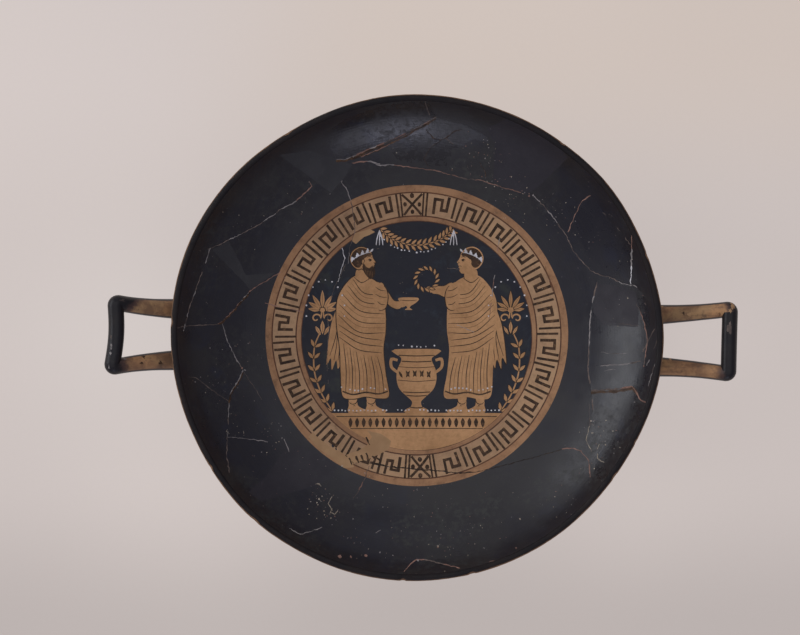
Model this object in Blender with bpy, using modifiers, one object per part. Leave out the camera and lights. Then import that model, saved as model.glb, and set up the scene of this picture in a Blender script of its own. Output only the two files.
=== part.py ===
"""Stemmed two-handled drinking cup (kylix), thrown and fired in one piece.

A wide shallow bowl stands on a short stem and a disc foot that is hollow
underneath. Two rod handles with square ends leave the bowl below the rim,
run outward and rise towards their end bars.

Frame: +X along the two handles, +Z up, origin at the middle of the bounding
box on the plane that the foot rests on. Units are metres.
"""
import math

import bpy
import bmesh
import numpy as np

# ---------------------------------------------------------------- main sizes
RIM_RADIUS = 0.1227          # outer edge of the rim, along X
ROUNDNESS = 0.992            # Y radius over X radius: slightly out of round
BOWL_X = -0.0026             # bowl axis; the right handle is the longer one
TOTAL_HEIGHT = 0.0920        # rim above the ground
STEPS = 64                   # facets round the turned shape
# the rim is drawn out a little at each handle: (direction in degrees, metres)
RIM_PULL = ((0.0, 0.0016), (180.0, 0.0005))
PULL_WIDTH = 10.0            # degrees

# bowl: slope of the inner surface, in degrees, at fractions of RIM_RADIUS
INNER_SLOPES = ((0.00, 0.0), (0.10, 2.0), (0.40, 10.5), (0.70, 22.5),
                (0.91, 43.5), (0.97, 60.0))
LIP_THICKNESS = 0.0038
WALL_THICKNESS = ((0.18, 0.0078), (0.40, 0.0062), (0.70, 0.0053),
                  (0.91, 0.0046), (0.97, 0.0038))
INNER_POINTS = 17
OUTER_POINTS = 12

# stem and foot
STEM_RADIUS = 0.0118
STEM_TOP = 0.0330            # where the bowl's underside turns into the stem
STEM_FOOT = 0.0250           # where the stem turns into the foot
FOOT_RADIUS = 0.0478
FOOT_SHOULDER_RADIUS = 0.0415
FOOT_SHOULDER_Z = 0.0090
FOOT_EDGE_Z = 0.0042         # height of the widest point of the foot's edge
REST_OUTER = 0.0452          # flat ring that the cup rests on
REST_INNER = 0.0385
HOLLOW_HEIGHT = 0.0260       # cone-shaped hollow under the foot
HOLLOW_TIP = 0.0030

# handles
ROD_SIDES = 12
ROOT_U = 0.0960              # path starts inside the wall, this far from the axis
ROOT_Z = 0.0668
TIP_Z = 0.0868
CORNER = 0.0012              # rounding of the path at the two outer corners
ROD_RADII = ((0.0960, 0.0064), (0.1110, 0.0059), (0.1220, 0.0051),
             (0.1330, 0.0045), (0.1440, 0.0041), (0.1600, 0.0039))
# per handle: distance of the end bar (at its back, middle and front), and the
# two legs as (y at the bowl, y at the bar), seen from above
LEFT = {"side": -1, "bar": (0.1508, 0.1505, 0.1523),
        "back": (0.0141, 0.0173), "front": (-0.0115, -0.0147), "flare": 3.4}
RIGHT = {"side": 1, "bar": (0.1577, 0.1573, 0.1570),
         "back": (0.0111, 0.0140), "front": (-0.0146, -0.0181), "flare": 2.6}


# ---------------------------------------------------------------- bowl curve
def table(rows, fractions):
    xs = [row[0] for row in rows]
    ys = [row[1] for row in rows]
    return np.interp(fractions, xs, ys)


def inner_curve():
    """Radius, height and slope of the inner surface, from axis to lip."""
    slope_end = math.radians(INNER_SLOPES[-1][1])
    r_end = RIM_RADIUS - LIP_THICKNESS / 2 * (1 + math.sin(slope_end))
    r = np.linspace(0.0, r_end, 1201)
    slope = np.radians(table(INNER_SLOPES, r / RIM_RADIUS))
    rise = np.concatenate(([0.0], np.cumsum(
        (np.tan(slope[1:]) + np.tan(slope[:-1])) / 2 * np.diff(r))))
    z = rise - rise[-1] + TOTAL_HEIGHT - LIP_THICKNESS / 2 * (
        1 - math.cos(slope_end))
    return r, z, slope


def even_rows(r, z, count, start=0):
    """Indices that cut the curve into equal turns of slope plus length."""
    step = np.hypot(np.diff(r), np.diff(z))
    length = np.concatenate(([0.0], np.cumsum(step)))
    turn = np.arctan2(np.gradient(z), np.gradient(r))
    way = length / length[-1] + (turn - turn[0]) / (turn[-1] - turn[0])
    goal = np.linspace(way[start], way[-1], count)
    return [int(np.argmin(abs(way - g))) for g in goal]


def offset(r, z, slope, depth):
    return r + np.sin(slope) * depth, z - np.cos(slope) * depth


def bowl_inside():
    r, z, _ = inner_curve()
    return [(r[i], z[i]) for i in even_rows(r, z, INNER_POINTS)]


def lip():
    """Half round from the inner to the outer end of the wall."""
    r, z, slope = (a[-1] for a in inner_curve())
    half = LIP_THICKNESS / 2
    cr, cz = offset(r, z, slope, half)
    points = []
    for k in range(1, 6):
        a = math.pi * k / 6
        along, across = math.sin(a) * half, -math.cos(a) * half
        points.append((cr + math.cos(slope) * along + math.sin(slope) * across,
                       cz + math.sin(slope) * along - math.cos(slope) * across))
    return points


def bowl_outside(share=1.0):
    """Outer wall, top to bottom; share < 1 gives a surface inside the wall."""
    r, z, slope = inner_curve()
    depth = table(WALL_THICKNESS, r / RIM_RADIUS) * share
    ro, zo = offset(r, z, slope, depth)
    start = int(np.argmin(abs(r - WALL_THICKNESS[0][0] * RIM_RADIUS)))
    rows = even_rows(r, z, OUTER_POINTS, start)
    return [(ro[i], zo[i]) for i in reversed(rows)]


# -------------------------------------------------------------- stem and foot
def quarter(centre, radii, start, end, count):
    """Points on an ellipse arc, without its first point."""
    points = []
    for k in range(1, count + 1):
        a = math.radians(start + (end - start) * k / count)
        points.append((centre[0] + radii[0] * math.cos(a),
                       centre[1] + radii[1] * math.sin(a)))
    return points


def stem_and_foot(bowl_end):
    """Outer side from the bowl's underside to the ground."""
    r0, z0 = bowl_end
    points = quarter((r0, STEM_TOP), (r0 - STEM_RADIUS, z0 - STEM_TOP),
                     90, 180, 4)
    flare = FOOT_SHOULDER_RADIUS - STEM_RADIUS
    drop = STEM_FOOT - FOOT_SHOULDER_Z
    points.append((STEM_RADIUS, STEM_FOOT))
    points += quarter((FOOT_SHOULDER_RADIUS, STEM_FOOT), (flare, drop),
                      180, 264, 7)
    points += quarter((FOOT_SHOULDER_RADIUS + 0.0012, FOOT_EDGE_Z),
                      (FOOT_RADIUS - FOOT_SHOULDER_RADIUS - 0.0012,
                       FOOT_SHOULDER_Z - FOOT_EDGE_Z - 0.0003), 78, 0, 4)
    points.append((REST_OUTER, 0.0))
    return points


def hollow_under_foot():
    """Underside from the resting ring up to the axis."""
    points = [(REST_INNER, 0.0)]
    for k in range(1, 8):
        t = k / 8
        r = REST_INNER * (1 - t) + HOLLOW_TIP * t
        points.append((r, HOLLOW_HEIGHT * 0.93 * t ** 2.1))
    points.append((HOLLOW_TIP, HOLLOW_HEIGHT * 0.93))
    points.append((0.0, HOLLOW_HEIGHT))
    return points


# -------------------------------------------------------------- mesh building
def turned(name, profile, collection):
    """Profile in the XZ plane, turned about Z with a Screw modifier."""
    mesh = bpy.data.meshes.new(name)
    bm = bmesh.new()
    verts = [bm.verts.new((r, 0.0, z)) for r, z in profile]
    for a, b in zip(verts, verts[1:]):
        bm.edges.new((a, b))
    bm.to_mesh(mesh)
    bm.free()
    obj = bpy.data.objects.new(name, mesh)
    obj.location = (BOWL_X, 0.0, 0.0)
    obj.scale = (1.0, ROUNDNESS, 1.0)
    collection.objects.link(obj)
    screw = obj.modifiers.new("Turn", "SCREW")
    screw.axis = "Z"
    screw.angle = math.tau
    screw.steps = STEPS
    screw.render_steps = STEPS
    screw.use_merge_vertices = True
    screw.merge_threshold = 0.00005
    screw.use_smooth_shade = True
    return obj


def handle_path(spec):
    """Centre line of a handle and its radius at each point."""
    u_back, u_mid, u_front = spec["bar"]

    def height(u):
        t = max(0.0, (u - ROOT_U) / (spec["bar"][1] - ROOT_U))
        return ROOT_Z + (TIP_Z - ROOT_Z) * min(t, 1.05) ** 2

    def leg(u_end, ends):
        points = []
        for k in range(10):
            t = k / 9
            u = ROOT_U + (u_end - CORNER - ROOT_U) * t
            y = ends[0] + (ends[1] - ends[0]) * t ** spec["flare"]
            points.append((u, y))
        return points

    def corner(u_end, y_end, sign):
        """Small arc between a leg's end and the end bar."""
        cu, cy = u_end - CORNER, y_end - sign * CORNER
        points = []
        for a in (60, 30, 0):
            a = math.radians(a)
            points.append((cu + CORNER * math.cos(a),
                           cy + sign * CORNER * math.sin(a)))
        return points

    back = leg(u_back, spec["back"]) + corner(u_back, spec["back"][1], 1)
    front = leg(u_front, spec["front"]) + corner(u_front, spec["front"][1], -1)
    y_mid = (spec["back"][1] + spec["front"][1]) / 2
    quarter_back = ((u_back + u_mid) / 2, (spec["back"][1] + y_mid) / 2)
    quarter_front = ((u_front + u_mid) / 2, (spec["front"][1] + y_mid) / 2)
    plan = back + [quarter_back, (u_mid, y_mid), quarter_front] + front[::-1]
    us = [row[0] for row in ROD_RADII]
    rs = [row[1] for row in ROD_RADII]
    return [((spec["side"] * u, y, height(u)), float(np.interp(u, us, rs)))
            for u, y in plan]


def handle(name, spec, collection):
    """Rod handle as a bevelled curve, then as a closed mesh."""
    path = handle_path(spec)
    curve = bpy.data.curves.new(name + "_path", "CURVE")
    curve.dimensions = "3D"
    curve.twist_mode = "Z_UP"
    curve.bevel_depth = 1.0
    curve.bevel_resolution = ROD_SIDES // 4 - 1
    curve.use_fill_caps = True
    spline = curve.splines.new("POLY")
    spline.points.add(len(path) - 1)
    for point, (position, radius) in zip(spline.points, path):
        point.co = (*position, 1.0)
        point.radius = radius
    guide = bpy.data.objects.new(name + "_path", curve)
    guide.location = (BOWL_X, 0.0, 0.0)
    collection.objects.link(guide)
    depsgraph = bpy.context.evaluated_depsgraph_get()
    mesh = bpy.data.meshes.new_from_object(guide.evaluated_get(depsgraph))
    bm = bmesh.new()
    bm.from_mesh(mesh)
    bmesh.ops.remove_doubles(bm, verts=bm.verts, dist=0.00002)
    bmesh.ops.recalc_face_normals(bm, faces=bm.faces)
    bm.to_mesh(mesh)
    bm.free()
    rod = bpy.data.objects.new(name, mesh)
    rod.matrix_world = guide.matrix_world.copy()
    collection.objects.link(rod)
    bpy.data.objects.remove(guide)
    return rod


def boolean(obj, other, operation):
    cut = obj.modifiers.new(operation.title() + "_" + other.name, "BOOLEAN")
    cut.operation = operation
    cut.solver = "EXACT"
    cut.object = other


def pull_rim(obj):
    """Draws the bowl's edge outward beside each handle."""
    depsgraph = bpy.context.evaluated_depsgraph_get()
    mesh = bpy.data.meshes.new_from_object(obj.evaluated_get(depsgraph))
    for vert in mesh.vertices:
        x, y, z = vert.co
        if z < STEM_TOP + 0.01:
            continue
        share = (math.hypot(x, y) / RIM_RADIUS) ** 6
        angle = math.degrees(math.atan2(y, x))
        for towards, amount in RIM_PULL:
            away = (angle - towards + 180.0) % 360.0 - 180.0
            push = amount * share * math.exp(-(away / PULL_WIDTH) ** 2)
            vert.co.x += push * math.cos(math.radians(towards))
    obj.modifiers.clear()
    obj.data = mesh


def hide_as_guide(obj):
    obj.hide_render = True
    obj.display_type = "WIRE"


def fired_clay_material():
    material = bpy.data.materials.new("black_gloss_ceramic")
    material.use_nodes = True
    shader = material.node_tree.nodes["Principled BSDF"]
    shader.inputs["Base Color"].default_value = (0.016, 0.015, 0.018, 1.0)
    shader.inputs["Roughness"].default_value = 0.32
    shader.inputs["Metallic"].default_value = 0.0
    return material


def main():
    for obj in list(bpy.data.objects):
        bpy.data.objects.remove(obj, do_unlink=True)
    parts = bpy.data.collections.new("kylix")
    guides = bpy.data.collections.new("kylix_guides")
    bpy.context.scene.collection.children.link(parts)
    bpy.context.scene.collection.children.link(guides)

    inside, outside = bowl_inside(), bowl_outside()
    profile = inside + lip() + outside + stem_and_foot(outside[-1])
    profile += hollow_under_foot()
    cup = turned("kylix_cup", profile, parts)
    bpy.context.view_layer.update()
    pull_rim(cup)

    # the handles' roots stop in the middle of the wall
    middle = bowl_outside(0.55)
    trim = turned("wall_trim", [(0.0, TOTAL_HEIGHT + 0.02),
                                (middle[0][0], TOTAL_HEIGHT + 0.02)]
                  + middle + [(0.0, middle[-1][1])], guides)
    hide_as_guide(trim)
    bpy.context.view_layer.update()

    for name, spec in (("handle_left", LEFT), ("handle_right", RIGHT)):
        rod = handle(name, spec, guides)
        hide_as_guide(rod)
        boolean(rod, trim, "DIFFERENCE")
        boolean(cup, rod, "UNION")

    cup.data.materials.append(fired_clay_material())
    cup.data.set_sharp_from_angle(angle=math.radians(35))
    bpy.context.view_layer.update()


main()
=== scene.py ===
"""Looks of the stemmed two-handled cup: fine surfaces, painting, cracks, light.

All lengths are metres unless a name ends in _mm. The bowl's surfaces are
height fields over the plan, so the painting is laid out flat in millimetres
round the bowl's axis and every region becomes faces of the surface itself.
"""
import math
import random

import bpy
import numpy as np
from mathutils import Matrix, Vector
from mathutils.geometry import delaunay_2d_cdt


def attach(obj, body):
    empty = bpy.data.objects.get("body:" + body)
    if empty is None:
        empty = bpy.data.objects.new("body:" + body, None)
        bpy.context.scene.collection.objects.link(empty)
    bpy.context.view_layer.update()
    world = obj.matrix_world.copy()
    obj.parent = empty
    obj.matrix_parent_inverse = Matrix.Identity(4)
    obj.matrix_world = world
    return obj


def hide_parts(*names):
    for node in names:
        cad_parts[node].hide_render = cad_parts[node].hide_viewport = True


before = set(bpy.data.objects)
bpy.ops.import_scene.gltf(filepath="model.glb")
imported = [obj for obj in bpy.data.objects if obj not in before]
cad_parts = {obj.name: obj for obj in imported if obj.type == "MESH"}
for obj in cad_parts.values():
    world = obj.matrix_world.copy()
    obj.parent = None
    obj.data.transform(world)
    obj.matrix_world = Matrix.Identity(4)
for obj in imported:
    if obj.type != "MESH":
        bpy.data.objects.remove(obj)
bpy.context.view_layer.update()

# ============================================================ shared shape
RIM_RADIUS = 0.1227
ROUNDNESS = 0.992
BOWL_X = -0.0026
TOTAL_HEIGHT = 0.0920
INNER_SLOPES = ((0.00, 0.0), (0.10, 2.0), (0.40, 10.5), (0.70, 22.5),
                (0.91, 43.5), (0.97, 60.0))
LIP_THICKNESS = 0.0038
WALL_THICKNESS = ((0.18, 0.0078), (0.40, 0.0062), (0.70, 0.0053),
                  (0.91, 0.0046), (0.97, 0.0038))
STEM_RADIUS = 0.0118
STEM_TOP = 0.0330
STEM_FOOT = 0.0250
FOOT_RADIUS = 0.0478
FOOT_SHOULDER_RADIUS = 0.0415
FOOT_SHOULDER_Z = 0.0090
FOOT_EDGE_Z = 0.0042
REST_OUTER = 0.0452
REST_INNER = 0.0385
HOLLOW_HEIGHT = 0.0260
HOLLOW_TIP = 0.0030
ROOT_U = 0.0960
ROOT_Z = 0.0668
TIP_Z = 0.0868
CORNER = 0.0012
ROD_RADII = ((0.0960, 0.0064), (0.1110, 0.0059), (0.1220, 0.0051),
             (0.1330, 0.0045), (0.1440, 0.0041), (0.1600, 0.0039))
LEFT = {"side": -1, "bar": (0.1508, 0.1505, 0.1523),
        "back": (0.0141, 0.0173), "front": (-0.0115, -0.0147), "flare": 3.4}
RIGHT = {"side": 1, "bar": (0.1577, 0.1573, 0.1570),
         "back": (0.0111, 0.0140), "front": (-0.0146, -0.0181), "flare": 2.6}

FLOOR_EDGE = 0.0868          # the floor piece meets the wall piece here
PIXEL = 0.0005               # one step of the picture at the rim's height
CAM_DISTANCE = 1.2           # camera above the rim
VIEW_CENTRE = (400.0, 317.5)
AXIS_AT = (416.0, 337.5)     # where the bowl's axis meets the rim plane


def table(rows, at):
    return np.interp(at, [row[0] for row in rows], [row[1] for row in rows])


_slope_end = math.radians(INNER_SLOPES[-1][1])
R_INNER_END = RIM_RADIUS - LIP_THICKNESS / 2 * (1 + math.sin(_slope_end))
_r = np.linspace(0.0, R_INNER_END, 4801)
_slope = np.radians(table(INNER_SLOPES, _r / RIM_RADIUS))
_rise = np.concatenate(([0.0], np.cumsum(
    (np.tan(_slope[1:]) + np.tan(_slope[:-1])) / 2 * np.diff(_r))))
_z = _rise - _rise[-1] + TOTAL_HEIGHT - LIP_THICKNESS / 2 * (
    1 - math.cos(_slope_end))
_depth = table(WALL_THICKNESS, _r / RIM_RADIUS)
_ro = _r + np.sin(_slope) * _depth
_zo = _z - np.cos(_slope) * _depth


# the bowl isn't quite round: (direction in degrees clockwise from the right as
# seen from above, millimetres outward at the lip), fading out down the wall
OUT_OF_ROUND = ((0, 1.6), (6, 1.35), (12, 0.8), (20, 0.0), (30, -0.65), (40, -0.75), (50, -0.35), (60, -0.1), (90, 0.3),
                (100, 0.5), (110, 0.35), (120, 0.0), (130, 0.45), (140, 0.1), (150, -0.7), (160, -0.65), (180, 0.3),
                (200, 0.8), (210, 0.5), (220, 0.15), (230, -0.4), (240, -1.1), (250, -0.5), (260, 0.0), (270, 0.3),
                (280, 0.0), (310, 0.0), (320, 0.85), (330, 0.6), (340, 0.3), (350, 0.9), (355, 1.4), (360, 1.6))


def out_of_round(xyz):
    """Moves points near the lip in or out; everything joined there moves alike."""
    r = np.hypot(xyz[:, 0], xyz[:, 1])
    angle = np.degrees(np.arctan2(-xyz[:, 1], xyz[:, 0])) % 360
    size = np.zeros(len(xyz))
    for shift in (-6, -3, 0, 3, 6):
        size += table(OUT_OF_ROUND, (angle + shift) % 360) / 5000
    t = np.clip((r - 0.098) / 0.024, 0, 1)
    size *= t * t * (3 - 2 * t)
    out = xyz.copy()
    out[:, :2] *= (1 + size / np.maximum(r, 1e-6))[:, None]
    return out


def inner_z(r):
    return np.interp(r, _r, _z)


def outer_z(r):
    return np.interp(r, _ro, _zo)


CAM_X = BOWL_X - (AXIS_AT[0] - VIEW_CENTRE[0]) * PIXEL
CAM_Y = (AXIS_AT[1] - VIEW_CENTRE[1]) * PIXEL


def plan(px, py):
    """Picture point to plan millimetres round the axis, on the inner surface."""
    x = y = 0.0
    depth = 0.02
    for _ in range(4):
        k = PIXEL * (1 + depth / CAM_DISTANCE)
        x = CAM_X + (px - VIEW_CENTRE[0]) * k - BOWL_X
        y = (CAM_Y - (py - VIEW_CENTRE[1]) * k) / ROUNDNESS
        r = min(math.hypot(x, y), R_INNER_END)
        depth = TOTAL_HEIGHT - float(inner_z(r))
    return x * 1000, y * 1000


# ============================================================ node helpers
class Nodes:
    """Short names for building a material's node tree."""

    def __init__(self, name):
        self.material = bpy.data.materials.new(name)
        self.material.use_nodes = True
        self.tree = self.material.node_tree
        self.shader = self.tree.nodes["Principled BSDF"]
        self.coord = self.tree.nodes.new("ShaderNodeTexCoord").outputs["Object"]

    def put(self, socket, value):
        if hasattr(value, "is_output"):
            self.tree.links.new(value, socket)
        else:
            socket.default_value = value

    def noise(self, scale, detail=3.0, rough=0.55, vector=None, distort=0.0):
        n = self.tree.nodes.new("ShaderNodeTexNoise")
        self.put(n.inputs["Vector"], vector or self.coord)
        n.inputs["Scale"].default_value = scale
        n.inputs["Detail"].default_value = detail
        n.inputs["Roughness"].default_value = rough
        n.inputs["Distortion"].default_value = distort
        return n.outputs["Fac"]

    def cells(self, scale, feature="F1", randomness=1.0, vector=None, out="Distance"):
        n = self.tree.nodes.new("ShaderNodeTexVoronoi")
        n.feature = feature
        self.put(n.inputs["Vector"], vector or self.coord)
        n.inputs["Scale"].default_value = scale
        n.inputs["Randomness"].default_value = randomness
        return n.outputs[out]

    def rings(self, scale, distort=1.0, detail=2.0, detail_scale=1.0):
        n = self.tree.nodes.new("ShaderNodeTexWave")
        n.wave_type = "RINGS"
        n.rings_direction = "Z"
        self.put(n.inputs["Vector"], self.coord)
        n.inputs["Scale"].default_value = scale
        n.inputs["Distortion"].default_value = distort
        n.inputs["Detail"].default_value = detail
        n.inputs["Detail Scale"].default_value = detail_scale
        return n.outputs["Fac"]

    def stretch(self, scale):
        n = self.tree.nodes.new("ShaderNodeMapping")
        self.put(n.inputs["Vector"], self.coord)
        n.inputs["Scale"].default_value = scale
        return n.outputs["Vector"]

    def polar(self, angle_scale, radius_scale):
        """Coordinates that run round the axis, for strokes along the wheel."""
        sep = self.tree.nodes.new("ShaderNodeSeparateXYZ")
        self.put(sep.inputs[0], self.coord)
        x, y = sep.outputs[0], sep.outputs[1]
        radius = self.calc("SQRT", self.calc("ADD", self.calc("MULTIPLY", x, x),
                                             self.calc("MULTIPLY", y, y)))
        inv = self.calc("DIVIDE", 1.0, self.calc("MAXIMUM", radius, 0.002))
        comb = self.tree.nodes.new("ShaderNodeCombineXYZ")
        self.put(comb.inputs[0], self.calc("MULTIPLY", self.calc("MULTIPLY", x, inv), angle_scale))
        self.put(comb.inputs[1], self.calc("MULTIPLY", self.calc("MULTIPLY", y, inv), angle_scale))
        self.put(comb.inputs[2], self.calc("MULTIPLY", radius, radius_scale))
        return comb.outputs[0]

    def calc(self, op, a, b=0.0, clamp=False):
        n = self.tree.nodes.new("ShaderNodeMath")
        n.operation = op
        n.use_clamp = clamp
        self.put(n.inputs[0], a)
        self.put(n.inputs[1], b)
        return n.outputs[0]

    def span(self, value, low, high, to_low=0.0, to_high=1.0):
        n = self.tree.nodes.new("ShaderNodeMapRange")
        n.interpolation_type = "SMOOTHSTEP"
        self.put(n.inputs["Value"], value)
        self.put(n.inputs["From Min"], low)
        self.put(n.inputs["From Max"], high)
        self.put(n.inputs["To Min"], to_low)
        self.put(n.inputs["To Max"], to_high)
        return n.outputs["Result"]

    def mix(self, fac, a, b, kind="MIX"):
        n = self.tree.nodes.new("ShaderNodeMix")
        n.data_type = "RGBA"
        n.blend_type = kind
        self.put(n.inputs[0], fac)
        for socket, value in ((n.inputs[6], a), (n.inputs[7], b)):
            self.put(socket, value if hasattr(value, "is_output") else (*value, 1.0))
        return n.outputs[2]

    def attribute(self, name):
        n = self.tree.nodes.new("ShaderNodeAttribute")
        n.attribute_name = name
        return n.outputs["Fac"]

    def bump(self, height, strength, distance=0.0002, normal=None):
        n = self.tree.nodes.new("ShaderNodeBump")
        n.inputs["Strength"].default_value = strength
        n.inputs["Distance"].default_value = distance
        self.put(n.inputs["Height"], height)
        if normal is not None:
            self.put(n.inputs["Normal"], normal)
        return n.outputs["Normal"]

    def finish(self, color, roughness, normal=None, specular=0.5, coat=0.0):
        if hasattr(color, "is_output"):
            self.put(self.shader.inputs["Base Color"], color)
        else:
            self.shader.inputs["Base Color"].default_value = (*color, 1.0)
        self.put(self.shader.inputs["Roughness"], roughness)
        self.shader.inputs["Specular IOR Level"].default_value = specular
        self.shader.inputs["Coat Weight"].default_value = coat
        if normal is not None:
            self.put(self.shader.inputs["Normal"], normal)
        return self.material


# ============================================================ materials
GLOSS_A = (0.0150, 0.0142, 0.0195)
GLOSS_B = (0.0190, 0.0168, 0.0190)
GLOSS_BLUE = (0.0175, 0.0195, 0.0340)
CLAY_A = (0.605, 0.334, 0.155)
CLAY_B = (0.455, 0.241, 0.105)


def gloss_material(name, specks=1.0, blue=0.35, rough=(0.30, 0.44), wear=False, mottle=0.42, specular=0.5):
    g = Nodes(name)
    broad = g.noise(16, 3, 0.6)
    mid = g.noise(95, 4, 0.62, distort=0.6)
    strokes = g.noise(1.0, 3, 0.6, vector=g.polar(9.0, 900.0))
    color = g.mix(g.span(broad, 0.38, 0.62), GLOSS_A, GLOSS_B)
    color = g.mix(g.calc("MULTIPLY", g.span(mid, 0.50, 0.72), blue), color, GLOSS_BLUE)
    color = g.mix(g.span(strokes, 0.45, 0.80, 0.0, 0.30), color, (0.028, 0.025, 0.023))
    # broad dull areas, then cloudy, greenish grey spots in them
    dull = g.span(g.noise(13, 3, 0.62, distort=0.5), 0.50, 0.60)
    color = g.mix(g.calc("MULTIPLY", dull, 0.55), color, (0.0290, 0.0270, 0.0255))
    cloud = g.calc("MULTIPLY", g.span(g.noise(330, 5, 0.7), 0.46, 0.66), g.span(g.noise(17, 3, 0.55), 0.44, 0.58, 0.08, 1.0))
    color = g.mix(g.calc("MULTIPLY", cloud, mottle), color, (0.040, 0.041, 0.036))
    # scattered pale pits where the surface has flaked
    dots = g.cells(620)
    pick = g.noise(240, 1, 0.5)
    zone = g.noise(34, 2, 0.5)
    dot = g.calc("MULTIPLY", g.span(dots, 0.10, 0.17, 1.0, 0.0),
                 g.span(pick, 0.64, 0.68))
    dot = g.calc("MULTIPLY", dot, g.span(zone, 0.46, 0.58, 0.15, 1.0))
    color = g.mix(g.calc("MULTIPLY", dot, specks), color, (0.20, 0.165, 0.145))
    roughness = g.span(g.noise(60, 4, 0.65), 0.35, 0.68, rough[0], rough[1])
    roughness = g.calc("ADD", roughness, g.calc("MULTIPLY", g.calc("ADD", dot, cloud), 0.20))
    roughness = g.calc("ADD", roughness, g.calc("MULTIPLY", dull, 0.06))
    if wear:
        color = g.mix(g.span(g.noise(70, 3, 0.6), 0.35, 0.65), (0.0130, 0.0110, 0.0120), (0.0200, 0.0150, 0.0140))
        edge = g.attribute("wear")
        worn = g.calc("ADD", edge, g.calc("MULTIPLY", g.calc("SUBTRACT", g.noise(120, 5, 0.72), 0.5), 1.5))
        worn = g.span(worn, 0.42, 0.70)
        thin = g.span(g.calc("ADD", edge, g.calc("MULTIPLY", g.calc("SUBTRACT", g.noise(60, 4, 0.6), 0.5), 1.2)), 0.35, 0.90)
        color = g.mix(g.calc("MULTIPLY", thin, 0.7), color, (0.080, 0.048, 0.031))
        color = g.mix(worn, color, g.mix(g.noise(400, 3, 0.6), (0.290, 0.165, 0.088), (0.130, 0.074, 0.044)))
        roughness = g.calc("ADD", roughness, g.calc("MULTIPLY", worn, 0.25))
    normal = g.bump(g.rings(260, 3.0, 3.0, 1.4), 0.12, 0.00006)
    normal = g.bump(g.noise(900, 4, 0.7), 0.22, 0.00006, normal)
    normal = g.bump(g.noise(130, 3, 0.6), 0.35, 0.00018, normal)
    return g.finish(color, roughness, normal, specular)


def handle_material():
    """Black gloss with the legs' upper faces left in bare, soiled clay."""
    g = Nodes("handle_gloss_and_bare_clay")
    dark = g.mix(g.span(g.noise(40, 3, 0.6), 0.38, 0.62), (0.0100, 0.0090, 0.0120), (0.0150, 0.0125, 0.0130))
    dark = g.mix(g.span(g.noise(260, 5, 0.7), 0.48, 0.74, 0.0, 0.5), dark, (0.030, 0.025, 0.023))
    clay = g.mix(g.span(g.noise(75, 4, 0.6), 0.36, 0.62), (0.500, 0.270, 0.122), (0.300, 0.160, 0.080))
    clay = g.mix(g.span(g.noise(48, 3, 0.6), 0.46, 0.60, 0.0, 0.6), clay, (0.400, 0.255, 0.120))
    clay = g.mix(g.span(g.noise(100, 4, 0.66), 0.48, 0.64, 0.0, 0.70), clay, (0.185, 0.098, 0.056))
    soil = g.span(g.noise(230, 5, 0.74), 0.50, 0.70)
    clay = g.mix(g.calc("MULTIPLY", soil, 0.7), clay, (0.105, 0.064, 0.043))
    streak = g.noise(1.0, 4, 0.65, vector=g.stretch((40.0, 420.0, 60.0)))
    clay = g.mix(g.span(streak, 0.52, 0.70, 0.0, 0.55), clay, (0.150, 0.086, 0.055))
    cover = g.attribute("bare")
    ragged = g.calc("MULTIPLY", g.calc("SUBTRACT", g.noise(300, 5, 0.74), 0.5), 0.75)
    bare = g.span(g.calc("ADD", cover, ragged), 0.46, 0.84)
    rubbed = g.span(g.calc("ADD", cover, ragged), 0.16, 0.50)
    color = g.mix(bare, g.mix(rubbed, dark, (0.082, 0.046, 0.036)), clay)
    normal = g.bump(g.noise(900, 4, 0.7), 0.25, 0.00006)
    normal = g.bump(g.noise(170, 3, 0.6), 0.35, 0.0002, normal)
    return g.finish(color, g.span(bare, 0.0, 1.0, 0.38, 0.58), normal, 0.32)


def field_material():
    """The picture's ground: blue-black slip, washed thin and greenish in places."""
    g = Nodes("black_gloss_blue_field")
    color = g.mix(g.span(g.noise(28, 4, 0.6), 0.38, 0.62), (0.0105, 0.0120, 0.0215), (0.0160, 0.0155, 0.0215))
    color = g.mix(g.span(g.noise(62, 5, 0.68, distort=0.8), 0.54, 0.72, 0.0, 0.8), color, (0.026, 0.036, 0.050))
    color = g.mix(g.span(g.noise(47, 4, 0.66), 0.56, 0.70, 0.0, 0.6), color, (0.034, 0.038, 0.029))
    color = g.mix(g.span(g.noise(1.0, 3, 0.6, vector=g.polar(9.0, 900.0)), 0.45, 0.80, 0.0, 0.25), color, (0.030, 0.029, 0.028))
    pits = g.calc("MULTIPLY", g.span(g.cells(560), 0.09, 0.16, 1.0, 0.0), g.span(g.noise(210, 1, 0.5), 0.64, 0.68))
    color = g.mix(pits, color, (0.14, 0.105, 0.080))
    roughness = g.span(g.noise(60, 4, 0.65), 0.35, 0.68, 0.32, 0.50)
    normal = g.bump(g.rings(260, 3.0, 3.0, 1.4), 0.12, 0.00006)
    normal = g.bump(g.noise(900, 4, 0.7), 0.25, 0.00006, normal)
    normal = g.bump(g.noise(130, 3, 0.6), 0.35, 0.00018, normal)
    return g.finish(color, roughness, normal, 0.32)


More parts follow.
